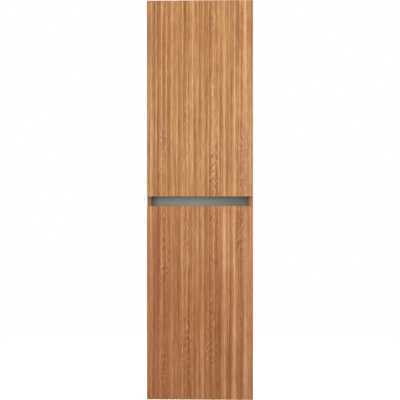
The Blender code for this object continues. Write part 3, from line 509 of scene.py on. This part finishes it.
def timber_finish(name, tones, grain, heart, streaks=(), figure=0.35, pores=0.35, roughness=0.4, feathers=(),
                  reeds=None):
    """Timber with its grain along one axis.

    The heart is the middle of the growth rings: beside the grain, in depth, its lean and the ring spacing.
    Each streak gives a colour, a strength, its middle, half its width, and its two ends.
    """
    finish = Finish(name)
    place = finish.place
    if grain == "X":
        place = finish.value("ShaderNodeMapping", {"Vector": place, "Rotation": (0, math.radians(90), 0)})
    x, y, z = [Value(finish, part) for part in finish.add("ShaderNodeSeparateXYZ", {0: place}).outputs]
    heart_across, heart_depth, lean, spacing = heart
    own_place = finish.shift(place, (heart_across * 7.3, 0.4, heart_depth * 3.1))
    slow = finish.noise((9.0, 9.0, 1.6), place=own_place)
    ripple = finish.noise((34.0, 34.0, 17.0), 2.0, 0.6, place)
    waver = (slow - 0.5) * WAVER_REACH + (ripple - 0.5) * RIPPLE_REACH
    across = x + waver
    bent = finish.value("ShaderNodeCombineXYZ", {0: across, 1: y + waver * 0.7, 2: z})

    hue = finish.noise((38.0, 9.0, 0.8), 2.0, 0.6, bent)
    colour = finish.mix(hue.span(0.35, 0.65), tones.get("rosy", tones["dark"]), tones["base"])
    broad = finish.noise((31.0, 9.0, 0.9), 1.0, place=finish.shift(bent, (1.7, 0.0, 0.3)))
    colour = finish.deepen(colour, broad.span(0.32, 0.68, 0.80, 1.12))
    bands = finish.noise((75.0, 20.0, 1.3), 3.0, 0.6, bent)
    colour = finish.mix(bands.span(0.50, 0.34, 0.0, 0.85), colour, tones["dark"])
    colour = finish.mix(bands.span(0.54, 0.70, 0.0, 0.75), colour, tones["pale"])

    from_side = across - heart_across
    from_depth = z * lean + heart_depth
    reach = finish.maths("SQRT", from_side * from_side + from_depth * from_depth)
    ruffle = finish.noise((60.0, 20.0, 5.0), 3.0, 0.6, bent)
    phase = finish.maths("FRACT", reach / spacing + ruffle * RUFFLE_RINGS)
    late = phase.span(0.45, 0.93) * phase.span(1.0, 0.93)
    near = reach.span(0.16, 0.03, 0.25, 1.0)
    colour = finish.mix(late * near * figure, colour, tones["line"])

    torn = finish.noise((330.0, 60.0, 3.0), place=bent).span(0.3, 0.7, 0.55, 1.0)
    drawn = x + waver * 0.35
    for tone, strength, middle, half_width, low, high in streaks:
        share = streak_mask(drawn, z, middle, half_width, low, high) * torn * strength
        tint = tuple(part / plain for part, plain in zip(tones[tone], tones["base"]))
        colour = finish.mix(share, colour, tint, "MULTIPLY")

    if feathers:
        dark_line, pale_line = feather_figure(finish, x, z, waver, feathers)
        colour = finish.mix(dark_line * 0.80, colour, tones["line"])
        colour = finish.mix(pale_line * 0.60, colour, tones["pale"])
    # Painted highlight on the crests and painted light in the grooves.
    if reeds:
        colour = painted_reed_light(finish, x, y, colour, tones, reeds)

    strand = finish.noise((185.0, 60.0, 2.4), place=finish.shift(place, (0.9, 0.0, 1.1)))
    cloud = finish.noise((34.0, 12.0, 14.0), 3.0, 0.6, bent)
    fine = finish.noise((420.0, 160.0, 25.0), 3.0, 0.6, bent)
    for layer, span in ((strand, (0.30, 0.68, 0.84, 1.11)), (cloud, (0.30, 0.70, 0.965, 1.035)),
                        (fine, (0.25, 0.75, 0.80, 1.17))):
        colour = finish.deepen(colour, layer.span(*span))
    hair = finish.noise((1500.0, 700.0, 38.0), 2.0, 0.55, bent)
    colour = finish.shade(colour, hair.span(0.25, 0.75, 0.95, 1.04))
    crowd = finish.noise((90.0, 40.0, 3.0), place=bent).span(0.40, 0.62)
    pore = finish.noise((980.0, 500.0, 62.0), 1.0, place=bent).span(0.62, 0.74) * crowd
    colour = finish.mix(pore * pores, colour, tones["line"])

    gloss = hair.span(0.2, 0.8, roughness - 0.05, roughness + 0.05) + pore * 0.16
    finish.surface(base_color=colour, roughness=gloss)
    finish.shader.inputs["Specular IOR Level"].default_value = OILED_SPECULAR
    finish.bump(hair * 0.5 - pore * 0.8, TIMBER_RELIEF, 0.6)
    return finish.material


def tones_of(settings):
    """The named colours of one timber."""
    names = ("base", "rosy", "pale", "dark", "red", "crest", "line")
    return {name: tuple(getattr(settings, name)) for name in names if hasattr(settings, name)}


def warmed(tones, share):
    """The same timber with some of its red in every tone."""
    return {name: tuple(part + (red - part) * share for part, red in zip(tone, tones["red"]))
            for name, tone in tones.items()}


def metal_finish(name, colour, roughness, mottled=0.0, drawn=False, metallic=1.0):
    """Metal, either drawn along X or lightly mottled as plating and casting are."""
    finish = Finish(name)
    if drawn:
        marks = finish.noise(DRAWN_CELLS, 3.0, 0.6)
        wide = finish.noise(tuple(part * 0.12 for part in DRAWN_CELLS))
        relief = 0.00003
    else:
        marks = finish.noise(1400.0, 3.0, 0.6)
        wide = finish.noise(160.0, 3.0)
        relief = 0.00002 + mottled * 0.00008
    shaded = finish.shade(colour, wide.span(0.3, 0.7, 0.93 - mottled * 0.15, 1.04))
    shaded = finish.shade(shaded, marks.span(0.3, 0.7, 0.96, 1.03))
    gloss = (marks.span(0.3, 0.7, roughness - 0.05, roughness + 0.06)
             + wide.span(0.3, 0.7, 0.0, mottled * 0.2))
    finish.surface(base_color=shaded, roughness=gloss, metallic=metallic)
    finish.bump(marks, relief, 0.5)
    return finish.material


def moulded_finish(name, colour, roughness, clear=0.0):
    """Moulded plastic or rubber with a fine spark-eroded grain, and some light let in where it's clear."""
    finish = Finish(name)
    grain = finish.noise(2600.0)
    shaded = finish.shade(colour, finish.noise(120.0, 3.0).span(0.3, 0.7, 0.93, 1.06))
    finish.surface(base_color=shaded, roughness=grain.span(0.3, 0.7, roughness - 0.06, roughness + 0.08))
    if clear:
        finish.surface(subsurface_weight=clear, subsurface_radius=(0.003, 0.003, 0.003), subsurface_scale=1.0)
    finish.bump(grain, 0.00004, 0.6)
    return finish.material


def dress(nodes, material):
    """Give packed nodes a new material."""
    for name in nodes:
        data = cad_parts[name].data
        data.materials.clear()
        data.materials.append(material)


def nodes_named(*words):
    """Packed nodes whose name holds every word."""
    return [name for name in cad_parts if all(word in name for word in words)]


def mesh_from(name, shape):
    """A mesh made from a shape, which is then let go."""
    mesh = bpy.data.meshes.new(name)
    shape.to_mesh(mesh)
    shape.free()
    return mesh


def placed(name, data):
    """An object in the scene for a mesh, a lamp or a camera."""
    item = bpy.data.objects.new(name, data)
    bpy.context.scene.collection.objects.link(item)
    return item


def solid_object(name, shape):
    """A closed shape as an object in the scene, with its faces turned outwards."""
    bmesh.ops.recalc_face_normals(shape, faces=shape.faces)
    return placed(name, mesh_from(name, shape))


def make_piece(name, shape, material, body, sharp=35.0):
    """Turn a shape into a smooth-shaded piece that rides on a body."""
    piece = solid_object(name, shape)
    piece.data.materials.append(material)
    piece.data.shade_smooth()
    piece.data.set_sharp_from_angle(angle=math.radians(sharp))
    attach(piece, body)
    return piece


def add_loop(shape, points):
    """Corners through a list of points."""
    return [shape.verts.new(point) for point in points]


def bridge(shape, first, second, closed=True):
    """Faces between two loops of as many corners."""
    count = len(first)
    for step in range(count if closed else count - 1):
        after = (step + 1) % count
        shape.faces.new((first[step], first[after], second[after], second[step]))


def skin(shape, loops):
    """Faces from each loop to the next, and over both ends."""
    for first, second in zip(loops, loops[1:]):
        bridge(shape, first, second)
    for end in (loops[0], loops[-1]):
        shape.faces.new(end)


def fill_with_holes(shape, loops):
    """A flat face inside the first loop, with the other loops left open."""
    corners = [corner for loop in loops for corner in loop]
    for triangle in tessellate_polygon([[corner.co for corner in loop] for loop in loops]):
        shape.faces.new([corners[index] for index in triangle])


def circle(radius, sides):
    """Corners of a flat circle about nought."""
    turns = [2 * math.pi * step / sides for step in range(sides)]
    return [(radius * math.cos(turn), radius * math.sin(turn)) for turn in turns]


def quarter(steps):
    """A quarter turn in equal steps, from nought."""
    return [math.radians(90 * step / steps) for step in range(steps + 1)]


def turned(shape, profile, sides):
    """A turned form: pairs of radius and height, spun about Z."""
    rings = []
    for radius, height in profile:
        corners = circle(radius, sides) if radius else [(0, 0)]
        rings.append(add_loop(shape, [(x, y, height) for x, y in corners]))
    for low, high in zip(rings, rings[1:]):
        for step in range(sides):
            after = (step + 1) % sides
            corners = []
            for ring, index in ((low, step), (low, after), (high, after), (high, step)):
                corner = ring[index % len(ring)]
                if corner not in corners:
                    corners.append(corner)
            shape.faces.new(corners)


def settled(piece):
    """A piece's shape after its modifiers, with the piece taken away."""
    bpy.context.view_layer.update()
    mesh = bpy.data.meshes.new_from_object(piece.evaluated_get(bpy.context.evaluated_depsgraph_get()))
    shape = bmesh.new()
    shape.from_mesh(mesh)
    bpy.data.objects.remove(piece, do_unlink=True)
    bpy.data.meshes.remove(mesh)
    return shape


def cross_cutter(top, floor):
    """The tapered cross that a screwdriver leaves in a screw head."""
    shape = bmesh.new()
    loops = []
    for height, share in ((floor, CROSS_TAPER), (top, 1.0)):
        arm = CROSS_REACH * share
        half = CROSS_REACH * CROSS_ARM_SHARE * share
        outline = [(arm, -half), (arm, half), (half, half), (half, arm), (-half, arm), (-half, half),
                   (-arm, half), (-arm, -half), (-half, -half), (-half, -arm), (half, -arm), (half, -half)]
        loops.append(add_loop(shape, [(x, y, height) for x, y in outline]))
    skin(shape, loops)
    return solid_object("driver_cross", shape)


def screw_head(kind):
    """A screw head of unit radius on Z = 0, made once for each kind."""
    name = f"{kind}_screw_head"
    if name in bpy.data.meshes:
        return bpy.data.meshes[name]
    top = SCREW_OUTLINES[kind][-1][1]
    shape = bmesh.new()
    turned(shape, SCREW_OUTLINES[kind], SCREW_SIDES)
    head = solid_object(f"{name}_blank", shape)
    cutter = cross_cutter(top + 0.2, top - 0.34 if kind == "domed" else 0.04)
    carve = head.modifiers.new("cross", "BOOLEAN")
    carve.operation = "DIFFERENCE"
    carve.solver = "EXACT"
    carve.object = cutter
    carved = settled(head)
    bpy.data.objects.remove(cutter, do_unlink=True)
    return mesh_from(name, carved)


def add_heads(name, spots, material, body=CARCASS):
    """A group of screw heads as one piece: each spot has a kind, place, direction, radius and turn."""
    shape = bmesh.new()
    for kind, point, direction, radius, turn in spots:
        before = len(shape.verts)
        shape.from_mesh(screw_head(kind))
        shape.verts.ensure_lookup_table()
        spot = (Matrix.Translation(point) @ direction @ Matrix.Rotation(math.radians(turn), 4, "Z")
                @ Matrix.Scale(radius, 4))
        bmesh.ops.transform(shape, matrix=spot, verts=shape.verts[before:])
    return make_piece(name, shape, material, body, 30.0)


def reed_pairs(sizes, width):
    """How many pairs of reeds fit across a door."""
    return int((width - 2 * sizes.least_land) / (sizes.wide_reed + sizes.narrow_reed))


def outer_land(sizes, width):
    """Width of the flat strip beside the outer reeds."""
    return (width - reed_pairs(sizes, width) * (sizes.wide_reed + sizes.narrow_reed)) / 2


def reed_line(sizes, width):
    """Front line of a door from its left edge: distance across, and height above the grooves."""
    left = outer_land(sizes, width)
    line = [(0.0, 0.0)]
    for reed in (sizes.wide_reed, sizes.narrow_reed) * reed_pairs(sizes, width):
        radius = (reed ** 2 / 4 + sizes.crown ** 2) / (2 * sizes.crown)
        for step in range(sizes.steps):
            angle = -math.asin(reed / 2 / radius) * (1 - 2 * step / sizes.steps)
            rise = radius * math.cos(angle) - (radius - sizes.crown)
            line.append((left + reed / 2 + radius * math.sin(angle), rise))
        left += reed
    line += [(left, 0.0), (width, 0.0)]
    return ease_grooves(line, sizes.groove_radius)


def ease_grooves(line, reach):
    """Round the bottom of each groove over a short reach to each side."""
    eased = []
    for index, (across, rise) in enumerate(line):
        groove = 0 < index < len(line) - 1 and rise <= min(line[index - 1][1], line[index + 1][1]) + 1e-9
        if not groove:
            eased.append((across, rise))
            continue
        before, after = line[index - 1], line[index + 1]
        for share in (-1.0, -0.4, 0.4, 1.0):
            other = before if share < 0 else after
            span = abs(other[0] - across)
            part = min(0.95, abs(share) * reach / span)
            lift = (1 - abs(share)) * 0.25 * reach
            eased.append((across + (other[0] - across) * part, rise + (other[1] - rise) * part + lift))
    return eased


def inset_line(loop, amount):
    """A flat closed loop moved inwards, for softened edges."""
    moved = []
    count = len(loop)
    for index in range(count):
        (ax, ay), (bx, by), (cx, cy) = loop[index - 1], loop[index], loop[(index + 1) % count]
        first = Vector((bx - ax, by - ay))
        second = Vector((cx - bx, cy - by))
        if first.length < 1e-9 or second.length < 1e-9:
            moved.append((bx, by))
            continue
        first = Vector((-first.y, first.x)).normalized()
        second = Vector((-second.y, second.x)).normalized()
        middle = (first + second) / max(0.5, 1 + first.dot(second))
        moved.append((bx + middle.x * amount, by + middle.y * amount))
    return moved


def door_outline(sizes, low, high):
    """A leaf's outline from above, and how many of its corners belong to the reeded front."""
    soft = sizes.edge_radius
    groove_y = low.y + sizes.crown
    front = [(low.x + across, groove_y - rise) for across, rise in reed_line(sizes, high.x - low.x)]
    side = sizes.side_radius
    corner = [(side * (1 - math.cos(turn)), groove_y + side * (1 - math.sin(turn))) for turn in quarter(5)]
    front[:1] = [(low.x + x, y) for x, y in corner]
    front[-1:] = [(high.x - x, y) for x, y in reversed(corner)]
    back = [(high.x, high.y - soft), (high.x - soft * 0.3, high.y - soft * 0.3), (high.x - soft, high.y),
            (low.x + soft, high.y), (low.x + soft * 0.3, high.y - soft * 0.3), (low.x, high.y - soft)]
    return front + back, len(front)


def door_shape(sizes, low, high, bores):
    """A reeded leaf between two corners, bored at the back."""
    soft = sizes.edge_radius
    outline, front_count = door_outline(sizes, low, high)
    shape = bmesh.new()
    rounding = [(soft * (1 - math.sin(turn)), soft * (1 - math.cos(turn))) for turn in reversed(quarter(3))]
    levels = [(low.z + rise, inset) for rise, inset in rounding]
    levels += [(high.z - rise, inset) for rise, inset in reversed(rounding)]
    loops = [add_loop(shape, [(x, y, z) for x, y in inset_line(outline, inset)]) for z, inset in levels]
    rear = front_count + 2
    middle = len(loops) // 2
    for number, (first, second) in enumerate(zip(loops, loops[1:])):
        for step in range(len(outline)):
            after = (step + 1) % len(outline)
            if number != middle - 1 or step != rear:
                shape.faces.new((first[step], first[after], second[after], second[step]))
    shape.faces.new(loops[0])
    shape.faces.new(loops[-1])
    below, above = loops[middle - 1], loops[middle]
    rim_loops = [[below[rear], below[rear + 1], above[rear + 1], above[rear]]]
    for x, z in bores:
        ring = [(x + across, z + up) for across, up in circle(sizes.bore_radius, BORE_SIDES)]
        rim = add_loop(shape, [(a, high.y, b) for a, b in ring])
        floor = add_loop(shape, [(a, high.y - sizes.bore_depth, b) for a, b in ring])
        bridge(shape, rim, floor)
        shape.faces.new(floor)
        rim_loops.append(rim)
    fill_with_holes(shape, rim_loops)
    return shape


class CABINET_OT_doors(Operator):
    """Make both reeded door leaves, with softened edges and bores for the hinge cups"""
    bl_idname = "cabinet.doors"
    bl_label = "Reeded doors"

    def execute(self, context):
        sizes = context.scene.cabinet_doors
        timber = context.scene.cabinet_door_timber
        tones = tones_of(timber)
        for level in LEVELS:
            node = f"{level}_door"
            low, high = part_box(node)
            bores = []
            for end in ENDS:
                cup_low, cup_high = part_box(f"{level}_hinge_cup_{end}")
                bores.append(((cup_low.x + cup_high.x) / 2, (cup_low.z + cup_high.z) / 2))
            heart, streaks = DOOR_FIGURE[level]
            own = warmed(tones, timber.warmth) if level == "lower" else tones
            reeds = (low.x + outer_land(sizes, high.x - low.x), sizes.wide_reed, sizes.narrow_reed,
                     low.y, low.y + sizes.crown, *REED_PAINTED_LIGHT[level])
            material = timber_finish(f"{level}_door_timber", own, "Z", heart, streaks, timber.figure,
                                     timber.pores, timber.roughness, DOOR_FEATHERS[level], reeds)
            leaf = make_piece(f"{node}_leaf", door_shape(sizes, low, high, bores), material,
                              DOOR_BODIES[level], 28.0)
            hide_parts(node)
        return {"FINISHED"}


class CABINET_OT_handle(Operator):
    """Make the anodised handle profile between the doors"""
    bl_idname = "cabinet.handle"
    bl_label = "Handle profile"

    def execute(self, context):
        fittings = context.scene.cabinet_fittings
        low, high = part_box("handle_profile")
        middle = (low + high) / 2
        wall = fittings.profile_wall
        half = (high.z - low.z) / 2 - fittings.profile_lip
        front = low.y + wall / 2
        rear = high.y - wall / 2
        corner = fittings.profile_corner
        upper = [(front, half + fittings.profile_lip)]
        upper += [(front + wall * (1 - math.cos(turn)), half + wall * (1 - math.sin(turn)))
                  for turn in quarter(6)]
        upper += [(rear - corner + corner * math.cos(turn), half - corner + corner * math.sin(turn))
                  for turn in reversed(quarter(16))]
        line = upper + [(y, -z) for y, z in reversed(upper)]
        shape = bmesh.new()
        ends = [add_loop(shape, [(x, y, middle.z + z) for y, z in line]) for x in (low.x, high.x)]
        bridge(shape, *ends, closed=False)
        holder = solid_object("profile_blank", shape)
        walls = holder.modifiers.new("wall", "SOLIDIFY")
        walls.thickness = wall
        walls.offset = 0.0
        walls.use_even_offset = True
        edges = holder.modifiers.new("edges", "BEVEL")
        edges.width = wall * 0.2
        edges.segments = 2
        edges.limit_method = "ANGLE"
        edges.angle_limit = math.radians(60)
        material = metal_finish("anodised_aluminium", fittings.handle, 0.50, drawn=True, metallic=0.35)
        piece = make_piece("handle_profile_drawn", settled(holder), material, CARCASS,
                           30.0)
        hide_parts("handle_profile")
        return {"FINISHED"}


def adjustable_shelves():
    """The shelves that rest on pins."""
    return [name for name in nodes_named("_shelf_") if "_pin_" not in name]


class CABINET_OT_boards(Operator):
    """Finish the side panels, top, bottom, shelves and back panel"""
    bl_idname = "cabinet.boards"
    bl_label = "Boards"

    def execute(self, context):
        boards = context.scene.cabinet_boards
        tones = tones_of(boards)
        hearts = {"side_panel_left": (-0.60, 0.090, 0.040, 0.0085),
                  "side_panel_right": (0.55, 0.120, -0.050, 0.0080)}
        for name, heart in hearts.items():
            dress([name], timber_finish(f"{name}_timber", tones, "Z", heart, roughness=boards.roughness))
        for number, name in enumerate(["top_panel", "bottom_panel", "fixed_shelf", *adjustable_shelves()]):
            heart = (0.30 + 0.21 * number, 0.14 - 0.03 * number, 0.05, 0.0082)
            dress([name], timber_finish(f"{name}_timber", tones, "X", heart, roughness=boards.roughness))
        back = dict(tones, base=tuple(value * 0.92 for value in tones["base"]))
        dress(["back_panel"], timber_finish("back_panel_timber", back, "Z", (0.06, 0.16, 0.05, 0.009),
                                            figure=0.30, pores=0.30, roughness=boards.roughness + 0.06))
        return {"FINISHED"}


class CABINET_OT_edge_bands(Operator):
    """Add thin bands on the front edges of the boards"""
    bl_idname = "cabinet.edge_bands"
    bl_label = "Edge bands"

    def execute(self, context):
        boards = context.scene.cabinet_boards
        tones = dict(tones_of(boards), base=tuple(boards.edge))
        level_band = self.finish("level", tones, "X", boards)
        # Painted shade and light: the left side's band is the same timber made darker (0.60), the right
        # side's made lighter (1.05).
        for (side, _), level in zip(SIDES, (0.60, 1.05)):
            own = {name: tuple(part * level for part in tone) for name, tone in tones.items()}
            self.band(f"side_panel_{side}", self.finish(side, own, "Z", boards), boards.band_thickness)
        for name in ["top_panel", "bottom_panel", *adjustable_shelves()]:
            self.band(name, level_band, boards.band_thickness)
        return {"FINISHED"}

    def finish(self, name, tones, grain, boards):
        """The timber of one kind of band."""
        return timber_finish(f"{name}_edge_band", tones, grain, (0.02, 0.3, 0.02, 0.006), figure=0.25,
                             pores=0.3, roughness=boards.roughness)

    def band(self, name, material, thickness):
        """One band, a hair narrower than its edge."""
        low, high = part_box(name)
        shape = bmesh.new()
        loops = []
        for depth, inset in ((BAND_OVERLAP, 0.0), (-thickness * 0.5, 0.0), (-thickness, thickness)):
            reach = BAND_MARGIN + inset
            left, right, foot, head = low.x + reach, high.x - reach, low.z + reach, high.z - reach
            corners = ((left, foot), (right, foot), (right, head), (left, head))
            loops.append(add_loop(shape, [(x, low.y + depth, z) for x, z in corners]))
        skin(shape, loops)
        make_piece(f"{name}_edge_band", shape, material, CARCASS)


class CABINET_OT_hinges(Operator):
    """Finish the concealed hinges and add their screws"""
    bl_idname = "cabinet.hinges"
    bl_label = "Concealed hinges"

    def execute(self, context):
        fittings = context.scene.cabinet_fittings
        nickel = metal_finish("nickel_plate", fittings.hinge, 0.22, 0.1)
        steel = metal_finish("bright_steel", fittings.pin, 0.28, 0.2)
        for part, metal in (("cup", nickel), ("arm", nickel), ("plate", nickel), ("pin", steel)):
            dress(nodes_named(f"_hinge_{part}_"), metal)
        for level in LEVELS:
            for number, end in enumerate(ENDS):
                self.screws(level, end, steel, 20 + 33 * number)
        return {"FINISHED"}

    def screws(self, level, end, steel, turn):
        """Plate, arm and cup screws of one hinge."""
        low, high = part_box(f"{level}_hinge_plate_{end}")
        middle = (low + high) / 2
        arm_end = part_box(f"{level}_hinge_arm_{end}")[1].y
        spots = [("domed", (WING_FACE_X, middle.y, middle.z + step * WING_HOLE_FROM_MIDDLE), TO_RIGHT,
                  PLATE_SCREW_RADIUS, angle) for step, angle in ((-1, turn), (1, turn + 50))]
        spots += [("flat", (ARM_SCREW_X, arm_end - from_end, middle.z), TO_RIGHT, ARM_SCREW_RADIUS, angle)
                  for from_end, angle in zip(ARM_SCREWS_FROM_END, (turn + 12, turn + 77))]
        add_heads(f"{level}_hinge_screws_{end}", spots, steel)
        cup_low, cup_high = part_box(f"{level}_hinge_cup_{end}")
        cup = (cup_low + cup_high) / 2
        spots = [("flat", (cup.x, EAR_FACE_Y, cup.z + step * EAR_SCREW_FROM_MIDDLE), TO_WALL,
                  EAR_SCREW_RADIUS, turn * step) for step in (-1, 1)]
        add_heads(f"{level}_cup_screws_{end}", spots, steel, DOOR_BODIES[level])


class CABINET_OT_shelf_pins(Operator):
    """Finish the turned shelf pins"""
    bl_idname = "cabinet.shelf_pins"
    bl_label = "Shelf pins"

    def execute(self, context):
        steel = metal_finish("turned_pin_steel", context.scene.cabinet_fittings.pin, 0.25, 0.15)
        dress(nodes_named("_pin_front_") + nodes_named("_pin_rear_"), steel)
        return {"FINISHED"}


class CABINET_OT_brackets(Operator):
    """Finish the brackets behind the handle profile and add their screws"""
    bl_idname = "cabinet.brackets"
    bl_label = "Profile brackets"

    def execute(self, context):
        fittings = context.scene.cabinet_fittings
        plastic = moulded_finish("bracket_plastic", fittings.plastic, 0.50)
        steel = metal_finish("bracket_screw_steel", fittings.pin, 0.30, 0.2)
        side_from_front, side_radius = BRACKET_SIDE_SCREW
        front_from_end, front_radius = BRACKET_FRONT_SCREW
        for level in LEVELS:
            for side, sign in SIDES:
                name = f"profile_bracket_{level}_{side}"
                dress([name], plastic)
                low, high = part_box(name)
                middle_z = (low.z + high.z) / 2
                near_x, far_x, direction = (low.x, high.x, TO_RIGHT) if sign < 0 else (high.x, low.x, TO_LEFT)
                side_place = (near_x - sign * BRACKET_WALL, low.y + side_from_front, middle_z)
                front_place = (far_x + sign * front_from_end, low.y + BRACKET_WALL, middle_z)
                spots = [("domed", side_place, direction, side_radius, 25),
                         ("domed", front_place, TO_WALL, front_radius, 60)]
                add_heads(f"{name}_screws", spots, steel)
        return {"FINISHED"}


class CABINET_OT_bumpers(Operator):
    """Finish the soft door bumpers"""
    bl_idname = "cabinet.bumpers"
    bl_label = "Door bumpers"

    def execute(self, context):
        rubber = moulded_finish("bumper_rubber", context.scene.cabinet_fittings.rubber, 0.42, clear=0.25)
        dress(nodes_named("_door_bumper_"), rubber)
        return {"FINISHED"}


class CABINET_OT_hangers(Operator):
    """Finish the cabinet hangers and wall plates, and add their screws"""
    bl_idname = "cabinet.hangers"
    bl_label = "Hangers"

    def execute(self, context):
        fittings = context.scene.cabinet_fittings
        steel = metal_finish("hanger_steel", fittings.pin, 0.32, 0.3)
        dress(nodes_named("hanger_housing"), metal_finish("cast_zinc", fittings.zinc, 0.42, 0.5))
        dress(nodes_named("hanger_hook"), steel)
        dress(nodes_named("wall_plate"), metal_finish("galvanised_steel", fittings.plate, 0.38, 0.4))
        for side, _ in SIDES:
            low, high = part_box(f"hanger_housing_{side}")
            middle_x = (low.x + high.x) / 2
            spots = [("flat", (middle_x, low.y + HANGER_SCREW_DEPTH, high.z - drop), TO_FRONT,
                      HANGER_SCREW_RADIUS, 15 + drop * 900) for drop in HANGER_SCREW_DROPS]
            add_heads(f"hanger_screws_{side}", spots, steel)
            low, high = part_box(f"wall_plate_{side}")
            middle_x = (low.x + high.x) / 2
            reach = (high.x - low.x) / 4
            spots = [("domed", (middle_x + step * reach, WALL_SCREW_Y, WALL_SCREW_Z), TO_FRONT,
                      WALL_SCREW_RADIUS, 35 * step) for step in (-1, 1)]
            add_heads(f"wall_screws_{side}", spots, steel)
        return {"FINISHED"}


class CABINET_OT_stage(Operator):
    """Set out the floor, the lamps, the room light and the camera"""
    bl_idname = "cabinet.stage"
    bl_label = "Stage"

    def execute(self, context):
        look = context.scene.cabinet_stage
        low, high = CAD_BOX
        self.floor(look, low[2] - look.floor_drop)
        self.room(look)
        for name, point, aim, size, power, tint in LAMPS:
            self.lamp(name, point, aim, size, getattr(look, power), tint)
        middle = (Vector(low) + Vector(high)) / 2
        self.camera(look, Vector((look.frame_shift, low[1], middle.z)))
        context.scene.view_settings.view_transform = "Standard"
        return {"FINISHED"}

    def floor(self, look, level):
        """A round pale floor that keeps the cabinet's shadow and reads as white."""
        shape = bmesh.new()
        bmesh.ops.create_circle(shape, cap_ends=True, segments=96, radius=look.floor_radius,
                                matrix=Matrix.Translation((0, 0, level)))
        finish = Finish("pale_floor")
        speckle = finish.noise(90.0, 3.0).span(0.3, 0.7, 0.99, 1.01)
        finish.surface(base_color=finish.shade(look.floor, speckle), roughness=0.8)
        flat = finish.stretch(finish.place, (1.0, 1.0, 0.0))
        reach = finish.value("ShaderNodeVectorMath", {0: flat}, "Value", operation="LENGTH")
        brightness = reach.span(0.5, 2.0, 0.40, 0.74)
        glow = finish.value("ShaderNodeEmission", {"Color": (1.0, 1.0, 1.0), "Strength": brightness})
        plain = finish.shader.outputs[0]
        lit = finish.value("ShaderNodeAddShader", {0: plain, 1: glow})
        both = finish.value("ShaderNodeMixShader", {0: finish.seen(), 1: plain, 2: lit})
        finish.feed(finish.tree.nodes["Material Output"].inputs["Surface"], both)
        floor = placed("floor", mesh_from("floor", shape))
        floor.data.materials.append(finish.material)

    def room(self, look):
        """Even light from all round, on a background that the camera and gloss see as white."""
        world = bpy.data.worlds.new("studio")
        bpy.context.scene.world = world
        world.use_nodes = True
        nodes = Nodes(world.node_tree)
        ground = nodes.tree.nodes["Background"].inputs
        nodes.feed(ground["Color"], (1.0, 1.0, 1.0))
        level = nodes.value("ShaderNodeMapRange", {0: nodes.seen(), 3: look.ambient, 4: 1.0})
        nodes.feed(ground["Strength"], level)

    def lamp(self, name, point, aim, size, power, tint):
        """A large soft lamp turned to a point."""
        light = bpy.data.lights.new(name, "AREA")
        light.shape = "RECTANGLE"
        light.size, light.size_y = size
        light.energy = power
        light.color = tint
        lamp = placed(name, light)
        lamp.location = point
        lamp.rotation_euler = (Vector(aim) - Vector(point)).to_track_quat("-Z", "Y").to_euler()

    def camera(self, look, aim):
        """A long lens at the height of the cabinet's middle."""
        away = Vector((math.sin(look.camera_turn), -math.cos(look.camera_turn), 0.0))
        camera = placed("camera", bpy.data.cameras.new("camera"))
        camera.location = aim + away * look.camera_distance
        camera.rotation_euler = (-away).to_track_quat("-Z", "Y").to_euler()
        camera.data.angle = 2 * math.atan(look.frame_height / 2 / look.camera_distance)
        camera.data.clip_end = 50.0
        bpy.context.scene.camera = camera


OPERATORS = (CABINET_OT_doors, CABINET_OT_handle, CABINET_OT_boards, CABINET_OT_edge_bands, CABINET_OT_hinges,
             CABINET_OT_shelf_pins, CABINET_OT_brackets, CABINET_OT_bumpers, CABINET_OT_hangers,
             CABINET_OT_stage)


class CABINET_PT_panel(Panel):
    """Lists the sizes, the colours and the pieces"""
    bl_idname = "CABINET_PT_panel"
    bl_label = "Tall wall cabinet"
    bl_space_type = "VIEW_3D"
    bl_region_type = "UI"
    bl_category = "Cabinet"

    def draw(self, context):
        for attribute, group in GROUPS.items():
            box = self.layout.box()
            box.label(text=group.__doc__)
            for key in group.__annotations__:
                box.prop(getattr(context.scene, attribute), key)
        for operator in OPERATORS:
            self.layout.operator(operator.bl_idname)


def register():
    """Add the settings, the operators and the panel."""
    for attribute, group in GROUPS.items():
        bpy.utils.register_class(group)
        setattr(bpy.types.Scene, attribute, PointerProperty(type=group))
    for item in (*OPERATORS, CABINET_PT_panel):
        bpy.utils.register_class(item)


def unregister():
    """Take the settings, the operators and the panel away."""
    for item in (CABINET_PT_panel, *reversed(OPERATORS)):
        bpy.utils.unregister_class(item)
    for attribute, group in reversed(GROUPS.items()):
        delattr(bpy.types.Scene, attribute)
        bpy.utils.unregister_class(group)


def main():
    register()
    for operator in OPERATORS:
        group, name = operator.bl_idname.split(".")
        getattr(getattr(bpy.ops, group), name)()


if __name__ == "__main__":
    main()
